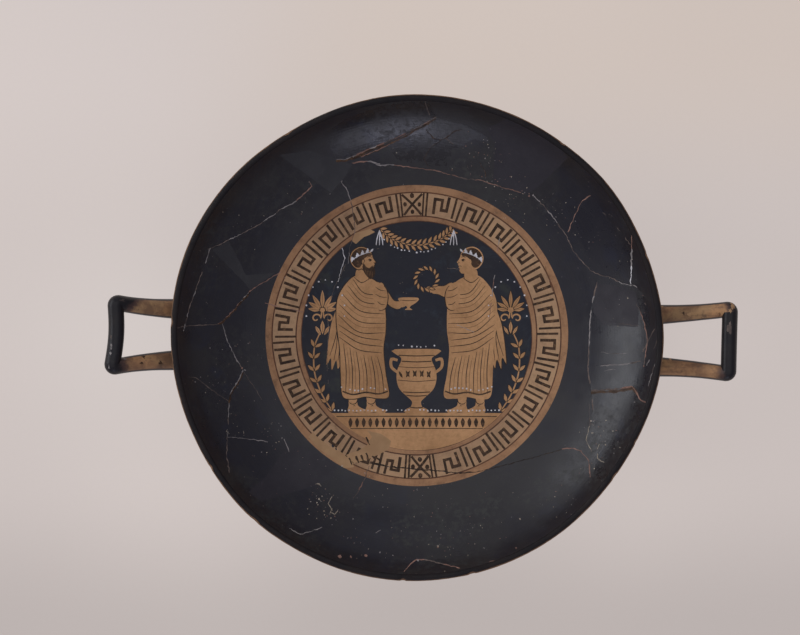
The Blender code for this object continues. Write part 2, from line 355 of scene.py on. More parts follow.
def clay_material(name, a=CLAY_A, b=CLAY_B, dirt=0.35):
    g = Nodes(name)
    broad = g.noise(38, 4, 0.6)
    fine = g.noise(520, 5, 0.7)
    strokes = g.noise(1.0, 3, 0.6, vector=g.polar(14.0, 1300.0))
    color = g.mix(g.span(broad, 0.36, 0.64), a, b)
    color = g.mix(g.span(fine, 0.40, 0.72, 0.0, 0.35), color, tuple(c * 0.62 for c in b))
    color = g.mix(g.span(strokes, 0.40, 0.75, 0.0, 0.22), color, tuple(min(1, c * 1.25) for c in a))
    grime = g.calc("MULTIPLY", g.span(g.noise(150, 5, 0.72), 0.52, 0.74), dirt)
    color = g.mix(grime, color, (0.085, 0.052, 0.034))
    normal = g.bump(g.noise(1400, 4, 0.7), 0.30, 0.00006)
    normal = g.bump(g.noise(240, 3, 0.6), 0.25, 0.00015, normal)
    return g.finish(color, g.span(fine, 0.3, 0.7, 0.50, 0.66), normal, 0.22)


def paint_material(name, a, b, rough=0.45, worn=0.35, worn_to=CLAY_B, scale=420, specular=0.3):
    """A painted line: the slip is thin in places and lets the clay through."""
    g = Nodes(name)
    color = g.mix(g.span(g.noise(160, 4, 0.6), 0.35, 0.65), a, b)
    gone = g.calc("MULTIPLY", g.span(g.noise(scale, 5, 0.75), 0.50, 0.72), worn)
    color = g.mix(gone, color, worn_to)
    normal = g.bump(g.noise(900, 3, 0.7), 0.25, 0.00006)
    return g.finish(color, rough, normal, specular)


def patch_material(name, a, b, rough=(0.62, 0.78), specular=0.3, rubbed=2.4):
    """Toned filler of a repair: matt, slightly rubbed."""
    g = Nodes(name)
    color = g.mix(g.span(g.noise(60, 4, 0.6), 0.36, 0.64), a, b)
    rub = g.span(g.noise(330, 4, 0.75), 0.58, 0.76)
    color = g.mix(g.calc("MULTIPLY", rub, 0.25), color, tuple(min(1.0, c * rubbed + 0.01) for c in b))
    normal = g.bump(g.noise(700, 4, 0.7), 0.30, 0.0001)
    return g.finish(color, g.span(g.noise(120, 3, 0.6), 0.35, 0.65, rough[0], rough[1]), normal, specular)


MATERIALS = {
    "gloss": gloss_material("black_gloss"),
    "gloss_rim": gloss_material("black_gloss_worn_rim", blue=0.0, rough=(0.48, 0.60), wear=True, specular=0.20),
    "gloss_sharp": gloss_material("black_gloss_bright_sherd", specks=0.7, blue=0.6, rough=(0.25, 0.37), mottle=0.35),
    "gloss_clear": gloss_material("black_gloss_clear_sherd", specks=0.5, blue=0.8, rough=(0.17, 0.25), mottle=0.2),
    "gloss_dull": gloss_material("black_gloss_dull_sherd", specks=0.7, blue=0.3, rough=(0.42, 0.54), mottle=0.5),
    "gloss_mottled": gloss_material("black_gloss_mottled", specks=1.0, mottle=1.0),
    "handle": handle_material(),
    "gloss_field": field_material(),
    "clay": clay_material("reserved_clay", dirt=0.12),
    "clay_border": clay_material("reserved_clay_border", (0.525, 0.325, 0.178), (0.400, 0.245, 0.136), 0.32),
    "clay_orange": clay_material("ochre_washed_band", (0.450, 0.246, 0.124), (0.330, 0.172, 0.086), 0.52),
    "brown": paint_material("dilute_brown_line", (0.130, 0.050, 0.022), (0.085, 0.034, 0.018), 0.5, 0.25),
    "dark": paint_material("dark_slip", (0.034, 0.019, 0.011), (0.075, 0.040, 0.022), 0.46, 0.34, specular=0.2),
    "relief": paint_material("relief_line", (0.016, 0.011, 0.009), (0.040, 0.025, 0.017), 0.42, 0.18, specular=0.2),
    "golden": paint_material("dilute_golden_line", (0.205, 0.100, 0.042), (0.160, 0.075, 0.030), 0.5, 0.2),
    "white": paint_material("added_white", (0.78, 0.76, 0.77), (0.58, 0.55, 0.54), 0.6, 0.20, (0.12, 0.10, 0.09), 300),
    "crack": paint_material("crack_fill", (0.205, 0.155, 0.128), (0.080, 0.062, 0.054), 0.75, 0.30, (0.020, 0.017, 0.016), 260),
    "crack_brown": paint_material("crack_bare_clay", (0.350, 0.200, 0.150), (0.205, 0.115, 0.087), 0.75, 0.24, (0.020, 0.017, 0.016), 260),
    "crack_pale": paint_material("crack_pale_edge", (0.360, 0.325, 0.305), (0.195, 0.176, 0.167), 0.7, 0.30, (0.04, 0.036, 0.034), 260),
    "pit_pale": paint_material("pale_pits", (0.560, 0.490, 0.380), (0.330, 0.270, 0.190), 0.7, 0.25, (0.06, 0.05, 0.04), 260),
    "filler_grey": patch_material("toned_filler_grey", (0.0430, 0.0420, 0.0440), (0.0350, 0.0345, 0.0370), (0.48, 0.58), 0.4),
    "filler_violet": patch_material("toned_filler_violet_grey", (0.0340, 0.0305, 0.0360), (0.0285, 0.0255, 0.0310), (0.44, 0.54), 0.4),
    "filler_tan": patch_material("toned_filler_tan", (0.500, 0.305, 0.150), (0.400, 0.235, 0.115), (0.55, 0.7), rubbed=1.3),
}


# ============================================================ flat drawing
class Drawing:
    """Closed outlines in plan millimetres, painted one over the other."""

    def __init__(self):
        self.shapes = []      # (points, material, raise in mm)
        self.creases = []     # (points, depth in mm)

    def fill(self, points, material, lift=0.0):
        pts = [(float(x), float(y)) for x, y in points]
        area = sum(a[0] * b[1] - b[0] * a[1] for a, b in zip(pts, pts[1:] + pts[:1]))
        if abs(area) < 1e-4:
            return
        self.shapes.append((pts if area > 0 else pts[::-1], material, lift))

    def disc(self, radius, material, centre=(0.0, 0.0), count=240, lift=0.0):
        self.fill([(centre[0] + radius * math.cos(math.tau * k / count),
                    centre[1] + radius * math.sin(math.tau * k / count))
                   for k in range(count)], material, lift)

    def stroke(self, points, width, material, lift=0.0, taper=0.0):
        outline = ribbon(points, width, taper)
        if len(outline) > 3:
            self.fill(outline, material, lift)


def ribbon(points, width, taper=0.0):
    """Outline of a brush line; taper thins its ends. width may be a list."""
    clean = [points[0]]
    for p in points[1:]:
        if math.dist(p, clean[-1]) > 0.02:
            clean.append(p)
    n = len(clean)
    if n < 2:
        return []
    total = sum(math.dist(a, b) for a, b in zip(clean, clean[1:]))
    left, right, way = [], [], 0.0
    for i, p in enumerate(clean):
        a, b = clean[max(0, i - 1)], clean[min(n - 1, i + 1)]
        tx, ty = b[0] - a[0], b[1] - a[1]
        length = math.hypot(tx, ty) or 1.0
        tx, ty = tx / length, ty / length
        mitre = 1.0
        if 0 < i < n - 1:
            ux, uy = p[0] - a[0], p[1] - a[1]
            lu = math.hypot(ux, uy) or 1.0
            cos_half = max(0.55, abs((ux * tx + uy * ty) / lu))
            mitre = 1.0 / cos_half
            way += lu
        elif i == n - 1:
            way = total
        t = way / total if total else 0.0
        w = width[min(i, len(width) - 1)] if isinstance(width, (list, tuple)) else width
        if taper:
            w *= 1.0 - taper * (1.0 - min(1.0, 4.0 * t, 4.0 * (1.0 - t)))
        w = max(w, 0.06) * mitre / 2
        left.append((p[0] - ty * w, p[1] + tx * w))
        right.append((p[0] + ty * w, p[1] - tx * w))
    return left + right[::-1]


def smooth(points, closed=False, step=0.7):
    """Points along a Catmull-Rom curve through the given ones."""
    pts = [tuple(map(float, p)) for p in points]
    n = len(pts)
    if n < 3:
        closed = False
    out = []
    spans = n if closed else n - 1
    for i in range(spans):
        if closed:
            p0, p1, p2, p3 = (pts[(i + k - 1) % n] for k in range(4))
        else:
            p1, p2 = pts[i], pts[i + 1]
            p0 = pts[i - 1] if i else (2 * p1[0] - p2[0], 2 * p1[1] - p2[1])
            p3 = pts[i + 2] if i + 2 < n else (2 * p2[0] - p1[0], 2 * p2[1] - p1[1])
        count = max(1, int(math.dist(p1, p2) / step))
        for k in range(count):
            t = k / count
            out.append(tuple(0.5 * (2 * b + (c - a) * t + (2 * a - 5 * b + 4 * c - d) * t * t
                                    + (3 * b - 3 * c + d - a) * t ** 3)
                             for a, b, c, d in zip(p0, p1, p2, p3)))
    if not closed:
        out.append(pts[-1])
    return out


# ------------------------------------------------------------ border
TONDO_AT = (0.55, 0.70)      # the painter's centre is a little off the axis
K_MM = 0.5135                # border sizes were judged in picture steps
rng = random.Random(7)


def ring_point(angle, radius):
    """Angle in degrees clockwise from the back of the cup."""
    a = math.radians(angle)
    return (TONDO_AT[0] + radius * K_MM * math.sin(a),
            TONDO_AT[1] + radius * K_MM * math.cos(a))


def ring_stroke(d, corners, width, material, jitter=0.25):
    width *= 1.28 if material == "dark" else 1.1
    """A line through (angle, radius) corners, drawn with square turns."""
    pts = [(a + rng.uniform(-1, 1) * jitter * 0.5, r + rng.uniform(-1, 1) * jitter) for a, r in corners]
    for (a0, r0), (a1, r1) in zip(pts, pts[1:]):
        p, q = ring_point(a0, r0), ring_point(a1, r1)
        steps = max(2, int(math.dist(p, q) / 1.2))
        line = [ring_point(a0 + (a1 - a0) * k / steps, r0 + (r1 - r0) * k / steps) for k in range(steps + 1)]
        # run on by half the width, so the turns are square
        w = width * rng.uniform(0.9, 1.1)
        (x0, y0), (x1, y1) = line[0], line[1]
        m = math.dist(line[0], line[1])
        line[0] = (x0 - (x1 - x0) / m * w * 0.45, y0 - (y1 - y0) / m * w * 0.45)
        (x0, y0), (x1, y1) = line[-2], line[-1]
        m = math.dist(line[-2], line[-1])
        line[-1] = (x1 + (x1 - x0) / m * w * 0.45, y1 + (y1 - y0) / m * w * 0.45)
        d.stroke(line, w, material)


def wavy_ring(d, radius, width, material, inner_material, wobble=0.5):
    phase = [rng.uniform(0, math.tau) for _ in range(4)]

    def at(angle, base):
        a = math.radians(angle)
        return base + wobble * (0.5 * math.sin(2 * a + phase[0]) + 0.3 * math.sin(5 * a + phase[1]) + 0.2 * math.sin(11 * a + phase[2]))
    for base, mat in ((radius, material), (radius - width, inner_material)):
        d.fill([ring_point(k * 1.5, at(k * 1.5, base)) for k in range(240)], mat)


def key(d, middle):
    """One unit of the running key pattern, with a pair of bars after it."""
    w = 5.6 * rng.uniform(0.94, 1.06)
    a0, a1, a2 = middle - w / 2, middle + w * rng.uniform(0.02, 0.10), middle + w / 2
    top = 138.2 + rng.uniform(-0.8, 0.8)
    low = 128.6 + rng.uniform(-0.8, 0.8)
    ring_stroke(d, [(a0, 125.2), (a0 - 0.1, top), (a1, top), (a1, low), (a2, low), (a2 + 0.1, 141.8)],
                1.18, "dark")


def bars(d, middle, gap=2.5):
    ring_stroke(d, [(middle - gap / 2, 143.0), (middle - gap / 2 + rng.uniform(-0.2, 0.2), 123.9)], 0.95, "dark")
    ring_stroke(d, [(middle + gap / 2, 140.6), (middle + gap / 2 + rng.uniform(-0.2, 0.2), 121.6)], 0.95, "dark")


def saltire(d, middle):
    w = 4.4
    for side in (-1, 1):
        for extra in (0.0, 1.55):
            a = middle + side * (w + 0.35 + extra)
            ring_stroke(d, [(a, 143.4), (a + rng.uniform(-0.1, 0.1), 121.4)], 0.78, "dark")
    ring_stroke(d, [(middle - w + 0.6, 142.2), (middle + w - 0.7, 123.0)], 1.0, "dark")
    ring_stroke(d, [(middle + w - 0.6, 142.2), (middle - w + 0.7, 123.0)], 1.0, "dark")
    for da, dr in ((0, 8.6), (0, -7.4), (-3.1, 0.4), (3.1, -0.2)):
        x, y = ring_point(middle + da, 132.6 + dr)
        size = rng.uniform(0.95, 1.12)
        pts = []
        for k in range(12):
            a = math.tau * k / 12
            pts.append((x + size * math.cos(a) * rng.uniform(0.92, 1.08),
                        y + size * 1.18 * math.sin(a) * rng.uniform(0.92, 1.08)))
        d.fill(pts, "dark")


def draw_border(d):
    wavy_ring(d, 151.4, 6.6, "clay_orange", "clay_orange", 0.5)
    wavy_ring(d, 145.0, 1.3, "brown", "clay_border", 0.4)
    wavy_ring(d, 121.4, 1.3, "brown", "clay_orange", 0.4)
    wavy_ring(d, 116.2, 0.8, "brown", "gloss_field", 0.5)
    saltire(d, -1.9)
    saltire(d, 178.5)
    right = [10.4 + 14.05 * k + rng.uniform(-0.4, 0.4) for k in range(12)]
    left = [-13.6 - 14.22 * k + rng.uniform(-0.4, 0.4) for k in range(12)]
    for angles in (right, left):
        for k, a in enumerate(angles):
            key(d, a)
            if k + 1 < len(angles):
                bars(d, (a + angles[k + 1]) / 2)


# ------------------------------------------------------------ picture
# Laid out in picture steps from the ring's centre, y up; the field's radius is 115.
PIC_MM = 0.5165
FIELD = 115.3


def petal(x, y, angle, length, width):
    """Leaf outline from its stalk at x, y."""
    ux, uy = math.cos(math.radians(angle)), math.sin(math.radians(angle))
    return [(x + ux * t * length - uy * w * width / 2, y + uy * t * length + ux * w * width / 2)
            for t, w in ((0, 0), (0.18, 0.55), (0.42, 1.0), (0.70, 0.78), (0.90, 0.33), (1, 0), (0.90, -0.33),
                         (0.70, -0.78), (0.42, -1.0), (0.18, -0.55))]


LINE_WEIGHT = 1.35


class Pen:
    """Draws figures: outlines in picture steps, put onto a Drawing."""

    def __init__(self, drawing, origin=(0.0, 0.0), size=1.0, flip=1):
        self.d, self.origin, self.size, self.flip = drawing, origin, size, flip

    def at(self, origin, size=1.0, flip=1):
        return Pen(self.d, origin, size, flip)

    def mm(self, points):
        ox, oy = self.origin
        out = []
        for x, y in points:
            x, y = ox + x * self.size * self.flip, oy + y * self.size
            r = math.hypot(x, y)
            if r > FIELD:
                x, y = x * FIELD / r, y * FIELD / r
            out.append((TONDO_AT[0] + x * PIC_MM, TONDO_AT[1] + y * PIC_MM))
        return out

    def form(self, points, edge=None, material="clay", width=0.34, line="relief"):
        """A closed form; edge lists the runs of points that get an outline."""
        width *= LINE_WEIGHT
        curve = smooth(self.mm(points), True, 0.8)
        self.d.fill(curve, material)
        if edge is None:
            self.d.stroke(curve + curve[:1], width, line)
        n = len(points)
        for a, b in edge or ():
            pts = [points[k % n] for k in range(a, b + 1)]
            run = smooth(self.mm([points[(a - 1) % n]] + pts + [points[(b + 1) % n]]), False, 0.8)
            ends = self.mm([pts[0], pts[-1]])
            i = min(range(len(run)), key=lambda k: math.dist(run[k], ends[0]))
            j = min(range(len(run)), key=lambda k: math.dist(run[k], ends[1]))
            if j > i:
                self.d.stroke(run[i:j + 1], width, line, taper=0.4)

    def line(self, points, width=0.30, material="relief", taper=0.55, lift=0.0):
        weight = LINE_WEIGHT if material == "relief" else 1.0
        self.d.stroke(smooth(self.mm(points), False, 0.8), width * weight, material, lift, taper)

    def spot(self, x, y, radius=0.9, material="white", lift=0.05, count=9):
        (cx, cy), = self.mm([(x, y)])
        r = 1.22 * radius * PIC_MM
        self.d.fill([(cx + r * math.cos(math.tau * k / count), cy + r * math.sin(math.tau * k / count))
                     for k in range(count)], material, lift)

    def leaf(self, x, y, angle, length, width, material="clay", line="relief", vein=False):
        ux, uy = math.cos(math.radians(angle)), math.sin(math.radians(angle))
        self.form(petal(x, y, angle, length, width), None if line else (), material, 0.26, line or "relief")
        if vein:
            self.line([(x + ux * 0.15 * length, y + uy * 0.15 * length),
                       (x + ux * 0.85 * length, y + uy * 0.85 * length)], 0.2, "golden", 0.3)


def folds(pen, tops, ends, bow=2.0, width=0.28, material="relief", bend=0.0):
    """Rows of drapery lines between two runs of points."""
    for k, (a, b) in enumerate(zip(tops, ends)):
        dx, dy = b[0] - a[0], b[1] - a[1]
        length = math.hypot(dx, dy) or 1.0
        off = bow + bend * k
        pen.line([a, ((a[0] + b[0]) / 2 - dy / length * off, (a[1] + b[1]) / 2 + dx / length * off), b],
                 width, material)


def head(pen, beard=False, long_hair=False):
    """Calm profile facing right, in its own steps round 0,0; 26 high."""
    h = 13.0

    def s(points):
        return [(x * h, y * h) for x, y in points]
    pen.form(s([(0.50, 0.86), (0.74, 0.56), (0.80, 0.30), (0.92, 0.08), (1.06, -0.12), (0.93, -0.20), (0.97, -0.32),
                (0.87, -0.39), (0.93, -0.50), (0.82, -0.60), (0.86, -0.76), (0.72, -0.95), (0.46, -0.98),
                (0.16, -0.82), (-0.06, -0.62), (-0.30, -0.70), (-0.62, -0.55), (-0.92, -0.15), (-0.98, 0.32),
                (-0.74, 0.80), (-0.30, 1.08), (0.18, 1.06)]))
    pen.form(s([(0.46, 0.80), (0.62, 0.55), (0.40, 0.42), (0.22, 0.40), (0.06, 0.26), (0.02, 0.02), (-0.04, -0.22),
                (-0.22, -0.50), (-0.52, -0.50), (-0.84, -0.12), (-0.90, 0.30), (-0.68, 0.73), (-0.28, 0.99),
                (0.15, 0.98)]), (), "dark")
    for k in range(6):
        t = k / 5
        pen.spot((0.60 - 0.56 * t) * h, (0.50 - 0.26 * t ** 2) * h, 1.25, "dark", 0.03)
    if beard:
        pen.form(s([(0.80, -0.42), (0.94, -0.62), (0.98, -0.95), (0.86, -1.28), (0.62, -1.42), (0.36, -1.22),
                    (0.12, -0.90), (-0.02, -0.45), (0.10, -0.20), (0.24, -0.42), (0.50, -0.56), (0.66, -0.44)]),
                 (), "dark")
        for k in range(5):
            pen.line(s([(0.22 + 0.13 * k, -0.72 - 0.02 * k), (0.30 + 0.12 * k, -1.12 - 0.03 * k)]), 0.22, "golden")
    if long_hair:
        for k in range(4):
            x0 = (-0.72 + 0.17 * k) * h
            pen.line([(x0, -0.42 * h), (x0 - 1.4, -0.85 * h), (x0 + 0.6, -1.25 * h), (x0 - 1.2, -1.62 * h)],
                     1.35, "dark", 0.5)
    pen.line(s([(0.40, 0.06), (0.54, 0.15), (0.70, 0.10)]), 0.30)
    pen.line(s([(0.44, 0.02), (0.57, -0.02), (0.70, 0.03)]), 0.24)
    pen.spot(0.60 * h, 0.07 * h, 0.95, "dark", 0.0)
    pen.line(s([(0.34, 0.27), (0.54, 0.35), (0.74, 0.28)]), 0.28)
    pen.line(s([(0.88, -0.39), (0.74, -0.39), (0.68, -0.43)]), 0.24)
    pen.line(s([(0.84, -0.16), (0.90, -0.10), (0.94, -0.16)]), 0.2)
    pen.form(s([(-0.02, 0.10), (0.10, 0.14), (0.15, 0.0), (0.08, -0.18), (-0.02, -0.26), (-0.08, -0.08)]),
             None, "clay", 0.22)
    # wreath in added white
    pen.line(s([(0.56, 0.66), (0.30, 0.62), (-0.02, 0.50), (-0.40, 0.36), (-0.72, 0.10), (-0.88, -0.10)]),
             0.42, "white", 0.2, 0.05)
    for k in range(9):
        t = k / 8
        pen.leaf((0.60 - 1.40 * t) * h, (0.68 - 0.24 * t - 0.52 * t * t) * h,
                 68 + 50 * t + (22 if k % 2 else -18), 4.6, 2.0, "white", None)


def turned(points, angle, size):
    a = math.radians(angle)
    return [((x * math.cos(a) - y * math.sin(a)) * size, (x * math.sin(a) + y * math.cos(a)) * size)
            for x, y in points]


def hand(pen, angle, size=1.0, closed=False):
    """Small hand at 0,0 with its fingers along +x before turning."""
    if closed:
        pen.form(turned([(-2, 2.6), (2, 3.2), (5.2, 2.6), (6.2, 0.2), (5.2, -2.6), (2.2, -3.4), (-2, -2.6)],
                        angle, size), [(0, 6)])
        for k in range(3):
            pen.line(turned([(5.8 - k * 0.2, 1.6 - 1.6 * k), (3.2, 1.4 - 1.6 * k)], angle, size), 0.2)
        pen.line(turned([(0.5, 2.6), (2.6, 1.2), (4.4, 2.4)], angle, size), 0.22)
        return
    pen.form(turned([(-2, 2.4), (1, 3.0), (3.4, 4.8), (4.6, 4.4), (4.2, 2.6), (7.6, 2.4), (10.4, 1.6), (10.6, 0.4),
                     (9.8, -0.8), (8.6, -1.8), (6.0, -2.8), (2.0, -3.0), (-2, -2.4)], angle, size), [(0, 12)])
    for run in ([(5.0, 1.0), (10.0, 0.7)], [(5.0, -0.5), (9.6, -0.5)], [(4.6, -1.7), (8.4, -1.5)]):
        pen.line(turned(run, angle, size), 0.2)


def foot(pen):
    """Foot in profile pointing right, ankle at 0,0, sole 9 below."""
    pen.form([(-4.2, 5), (-4.8, -1), (-6.2, -5.6), (-5.2, -8.6), (-1.5, -9.0), (3.0, -8.4), (8.0, -9.0), (15.5, -9.0),
              (17.2, -7.6), (15.8, -5.6), (10.5, -4.0), (5.4, -0.5), (4.0, 5)], [(0, 12)])
    pen.line([(0.0, -1.6), (1.4, -0.4), (2.6, -1.8)], 0.22)
    for k in range(3):
        pen.line([(12.0 + 1.5 * k, -7.0 - 0.3 * k), (13.6 + 1.3 * k, -8.4)], 0.2)


def local(pen, x, y, size=1.0):
    """A pen at x, y of another one, turned the same way."""
    return Pen(pen.d, (pen.origin[0] + x * pen.size * pen.flip, pen.origin[1] + y * pen.size),
               pen.size * size, pen.flip)


GROUND = -78.0


def draw_ground(pen):
    """Straight ground with a clay segment below it, with a row of tongues."""
    half = math.degrees(math.acos(-GROUND / FIELD))
    arc = [(FIELD * math.sin(math.radians(a)), -FIELD * math.cos(math.radians(a)))
           for a in np.linspace(half, -half, 40)]
    pen.form([(x, GROUND) for x in np.linspace(-84.5, 84.5, 24)] + arc, ())
    pen.line([(-80, GROUND - 3.4), (0, GROUND - 3.4), (80, GROUND - 3.4)], 0.50, "dark", 0.1)
    pen.line([(-66, GROUND - 15.6), (0, GROUND - 15.6), (66, GROUND - 15.6)], 0.45, "dark", 0.1)
    for x in np.arange(-66, 66.1, 6.6):
        pen.leaf(x, GROUND - 4.6, -90, 10.0, 4.2, "dark", None)


def draw_palmette(pen):
    """Fan of petals over two spirals."""
    for a, length in ((8, 17), (32, 20), (58, 23), (90, 26), (122, 23), (148, 20), (172, 17)):
        pen.leaf(3.4 * math.cos(math.radians(a)), 3.4 * math.sin(math.radians(a)), a, length, 6.0, "clay", "relief", True)
    pen.form([(4.5, 0), (3.2, 4.0), (0, 5.2), (-3.2, 4.0), (-4.5, 0), (0, -3.0)], None)
    for side in (-1, 1):
        spiral = [(side * (9 + (7.0 - 0.9 * t) * math.cos(3.0 - t)), -11 + (7.0 - 0.9 * t) * math.sin(3.0 - t))
                  for t in np.linspace(0, 5.6, 22)]
        pen.line([(side * 1.0, -1)] + spiral, 0.80, "clay", 0.3)
        pen.leaf(side * 10, -22, 90 + side * 150, 15, 5.0, "clay", "relief", True)
    pen.leaf(0, -14, -90, 20, 6.0, "clay", "relief", True)


def draw_mixing_bowl(pen):
    """Big bowl on a foot, with two loop handles and painted bands; 64 high."""
    for side in (-1, 1):
        pen.line([(side * 18, 40), (side * 25, 46), (side * 25, 54), (side * 19, 53)], 1.50, "clay", 0.1)
    half = [(11, 0), (11, 3.4), (6, 6), (4.5, 11), (9, 16), (17, 24), (20, 34), (19, 44), (15.5, 52), (16, 56), (22, 60),
            (22, 64)]
    pen.form(half + [(-x, y) for x, y in reversed(half)], None)
    for y, w in ((5.6, 6.4), (17.5, 10.2), (21, 13.6), (52, 15.0), (58, 18.0)):
        pen.line([(-w, y), (0, y - 0.7), (w, y)], 0.55, "dark", 0.1)
    for k in range(9):
        pen.leaf(-14 + 3.5 * k, 36 - 0.06 * (k - 4) ** 2, 62 if k % 2 else 118, 8.0, 2.6, "dark", None)
    pen.line([(-19, 33), (0, 31.6), (19, 33)], 0.34, "dark", 0.1)
    pen.line([(-19, 46.5), (0, 45.4), (19, 46.5)], 0.34, "dark", 0.1)


def draw_mantle_figure(pen, beard, arm):
    """Standing figure wrapped in a cloak, facing right; ground at 0, 158 high."""
    for x in (-8, 9):
        foot(local(pen, x, 7.6, 0.84))
        pen.form([(x - 4.0, 24), (x + 4.6, 24), (x + 3.4, 10), (x - 3.4, 10)], [(1, 3)])
    # the hanging end behind the back
    pen.form([(-19, 104), (-27, 90), (-31, 70), (-33, 46), (-29, 52), (-28, 41), (-24, 50), (-22, 42), (-17, 60)])
    folds(pen, [(-21, 92), (-23, 84), (-22, 76)], [(-30, 54), (-26, 50), (-22, 50)], 1.2, 0.28)
    pen.form([(7, 129), (16, 123), (21, 110), (23, 95), (23, 78), (21, 60), (23, 38), (26, 16), (16, 13.4), (4, 15),
              (-8, 13), (-18, 16), (-20, 38), (-21, 62), (-24, 86), (-23, 108), (-15, 123), (-5, 131)])
    # folds: across the chest, round the waist and down to the hem
    folds(pen, [(-8, 127), (-13, 121), (-18, 113), (-21, 103), (-22, 93)],
          [(18, 112), (20, 103), (21, 94), (22, 85), (22, 76)], -6, 0.30, "relief", -0.5)
    folds(pen, [(-10, 124), (-15, 117), (-20, 108), (-22, 98)], [(19, 108), (21, 99), (22, 90), (22, 81)],
          -6, 0.22, "golden", -0.5)
    folds(pen, [(-22, 84), (-21, 78), (-21, 72)], [(19, 69), (20, 63), (19, 57)], -4, 0.30, "relief", -0.4)
    folds(pen, [(-17, 66), (-11, 62), (-5, 58), (2, 55), (9, 54), (15, 53)],
          [(-15, 18), (-9, 17), (-2, 18), (5, 18), (13, 17), (21, 18)], 1.4, 0.30)
    folds(pen, [(-14, 62), (-8, 58), (-1, 54), (6, 53), (12, 52)], [(-12, 18), (-6, 17), (2, 18), (9, 18), (17, 17)],
          1.4, 0.22, "golden")
    pen.line([(-18, 20.5), (-8, 17.5), (4, 19.5), (16, 18), (25, 20.5)], 0.80, "dark", 0.1)
    # bare forearm, lifted to the front
    dy = arm
    pen.form([(13, 118), (20, 114), (25, 103 + 0.5 * dy), (32, 99 + dy), (37, 100 + dy), (37, 106 + dy), (31, 107 + dy),
              (26, 114 + 0.5 * dy), (19, 124)], [(1, 3), (5, 8)])
    pen.form([(12, 124), (21, 121), (25, 112), (23, 100), (16, 98), (11, 108)], [(1, 4)])
    folds(pen, [(13, 120), (13, 113), (15, 106)], [(23, 116), (24, 110), (22, 103)], -1.2, 0.26)
    hand(local(pen, 38, 103 + dy), 20, 0.80, True)
    # neck and head
    pen.form([(-5, 126), (-4.5, 136), (6, 136), (6.5, 127), (1, 123)], [(1, 3)])
    pen.line([(-7, 129), (0, 124), (8, 128)], 0.30)
    head(local(pen, 1, 144.5, 0.94), beard, False)


def draw_figures(pen):
    left, right = pen.at((-55, GROUND), 1.06, 1), pen.at((55, GROUND), 1.06, -1)
    draw_mantle_figure(left, True, 0)
    draw_mantle_figure(right, False, 14)
    # a shallow drinking bowl in one hand, a leafy wreath in the other
    cup = pen.at((-8, 33), 1.0, 1)
    cup.form([(-9.5, 5), (-8, 0.5), (-3, -2.6), (-1.2, -5.2), (-4, -7), (4, -7), (1.2, -5.2), (3, -2.6), (8, 0.5),
              (9.5, 5)], None)
    cup.line([(-8.6, 2.8), (0, 2.2), (8.6, 2.8)], 0.34, "dark")
    for k in range(14):
        a = 360 * k / 14
        pen.leaf(10 + 9.0 * math.cos(math.radians(a)), 57 + 9.0 * math.sin(math.radians(a)), a + 62, 7.0, 3.0,
                 "clay", "relief")


def draw_swag(pen):
    """Garland of leaves that hangs over the scene."""
    run = smooth([(-37, 107), (-22, 96), (0, 91), (22, 96), (37, 107)], False, 4.6)
    pen.line(run, 0.60, "clay", 0.1)
    for k, ((x, y), (x2, y2)) in enumerate(zip(run, run[1:])):
        a = math.degrees(math.atan2(y2 - y, x2 - x))
        for side in (-1, 1):
            pen.leaf(x, y, a + side * 46, 8.4, 3.3, "clay", "relief")
    for x in (-37, 37):
        for k in range(3):
            pen.line([(x, 106), (x + (k - 1) * 2.4, 98), (x + (k - 1) * 3.4, 91)], 0.55, "white", 0.4, 0.06)


def draw_whites(pen):
    """Rows of small dots in added white, some of them lost."""
    dots = random.Random(5)
    rows = ([(-36, 100), (-22, 89), (0, 84), (22, 89), (36, 100)],
            [(-18, GROUND + 68), (0, GROUND + 66.6), (18, GROUND + 68)],
            [(-75, GROUND + 26), (-62, GROUND + 22.5), (-46, GROUND + 25), (-31, GROUND + 24)],
            [(75, GROUND + 26), (62, GROUND + 22.5), (46, GROUND + 25), (31, GROUND + 24)],
            [(-82, GROUND + 2.6), (0, GROUND + 2.6), (82, GROUND + 2.6)])
    for row in rows:
        for x, y in smooth(row, False, 3.7):
            if dots.random() < 0.90:
                pen.spot(x + dots.uniform(-0.4, 0.4), y + dots.uniform(-0.5, 0.5), dots.uniform(0.55, 0.82),
                         "white", 0.06, 7)
    for cx, cy in ((-91, 25), (91, 25)):
        for k in range(11):
            a = math.radians(-10 + 20 * k)
            pen.spot(cx + 31 * math.cos(a) * 0.62, cy + 31 * math.sin(a), dots.uniform(0.55, 0.8), "white", 0.06, 7)


def draw_picture(d):
    """A common scene: two cloaked figures at a mixing bowl, under a garland."""
    pen = Pen(d)
    draw_ground(pen)
    for side in (-1, 1):
        stem = [(side * x, y) for x, y in ((84, -76), (95, -58), (102, -36), (102, -12), (96, 4))]
        pen.line(stem, 0.75, "clay", 0.2)
        for (x, y), (x2, y2) in zip(smooth(stem, False, 9.0), smooth(stem, False, 9.0)[1:]):
            a = math.degrees(math.atan2(y2 - y, x2 - x))
            for turn in (-1, 1):
                pen.leaf(x, y, a + turn * 42, 9.5, 3.8, "clay", "relief")
        draw_palmette(pen.at((side * 94, 25), 0.70, side))
    draw_mixing_bowl(pen.at((0, GROUND), 1.0, 1))
    draw_swag(pen)
    draw_figures(pen)
    draw_whites(pen)


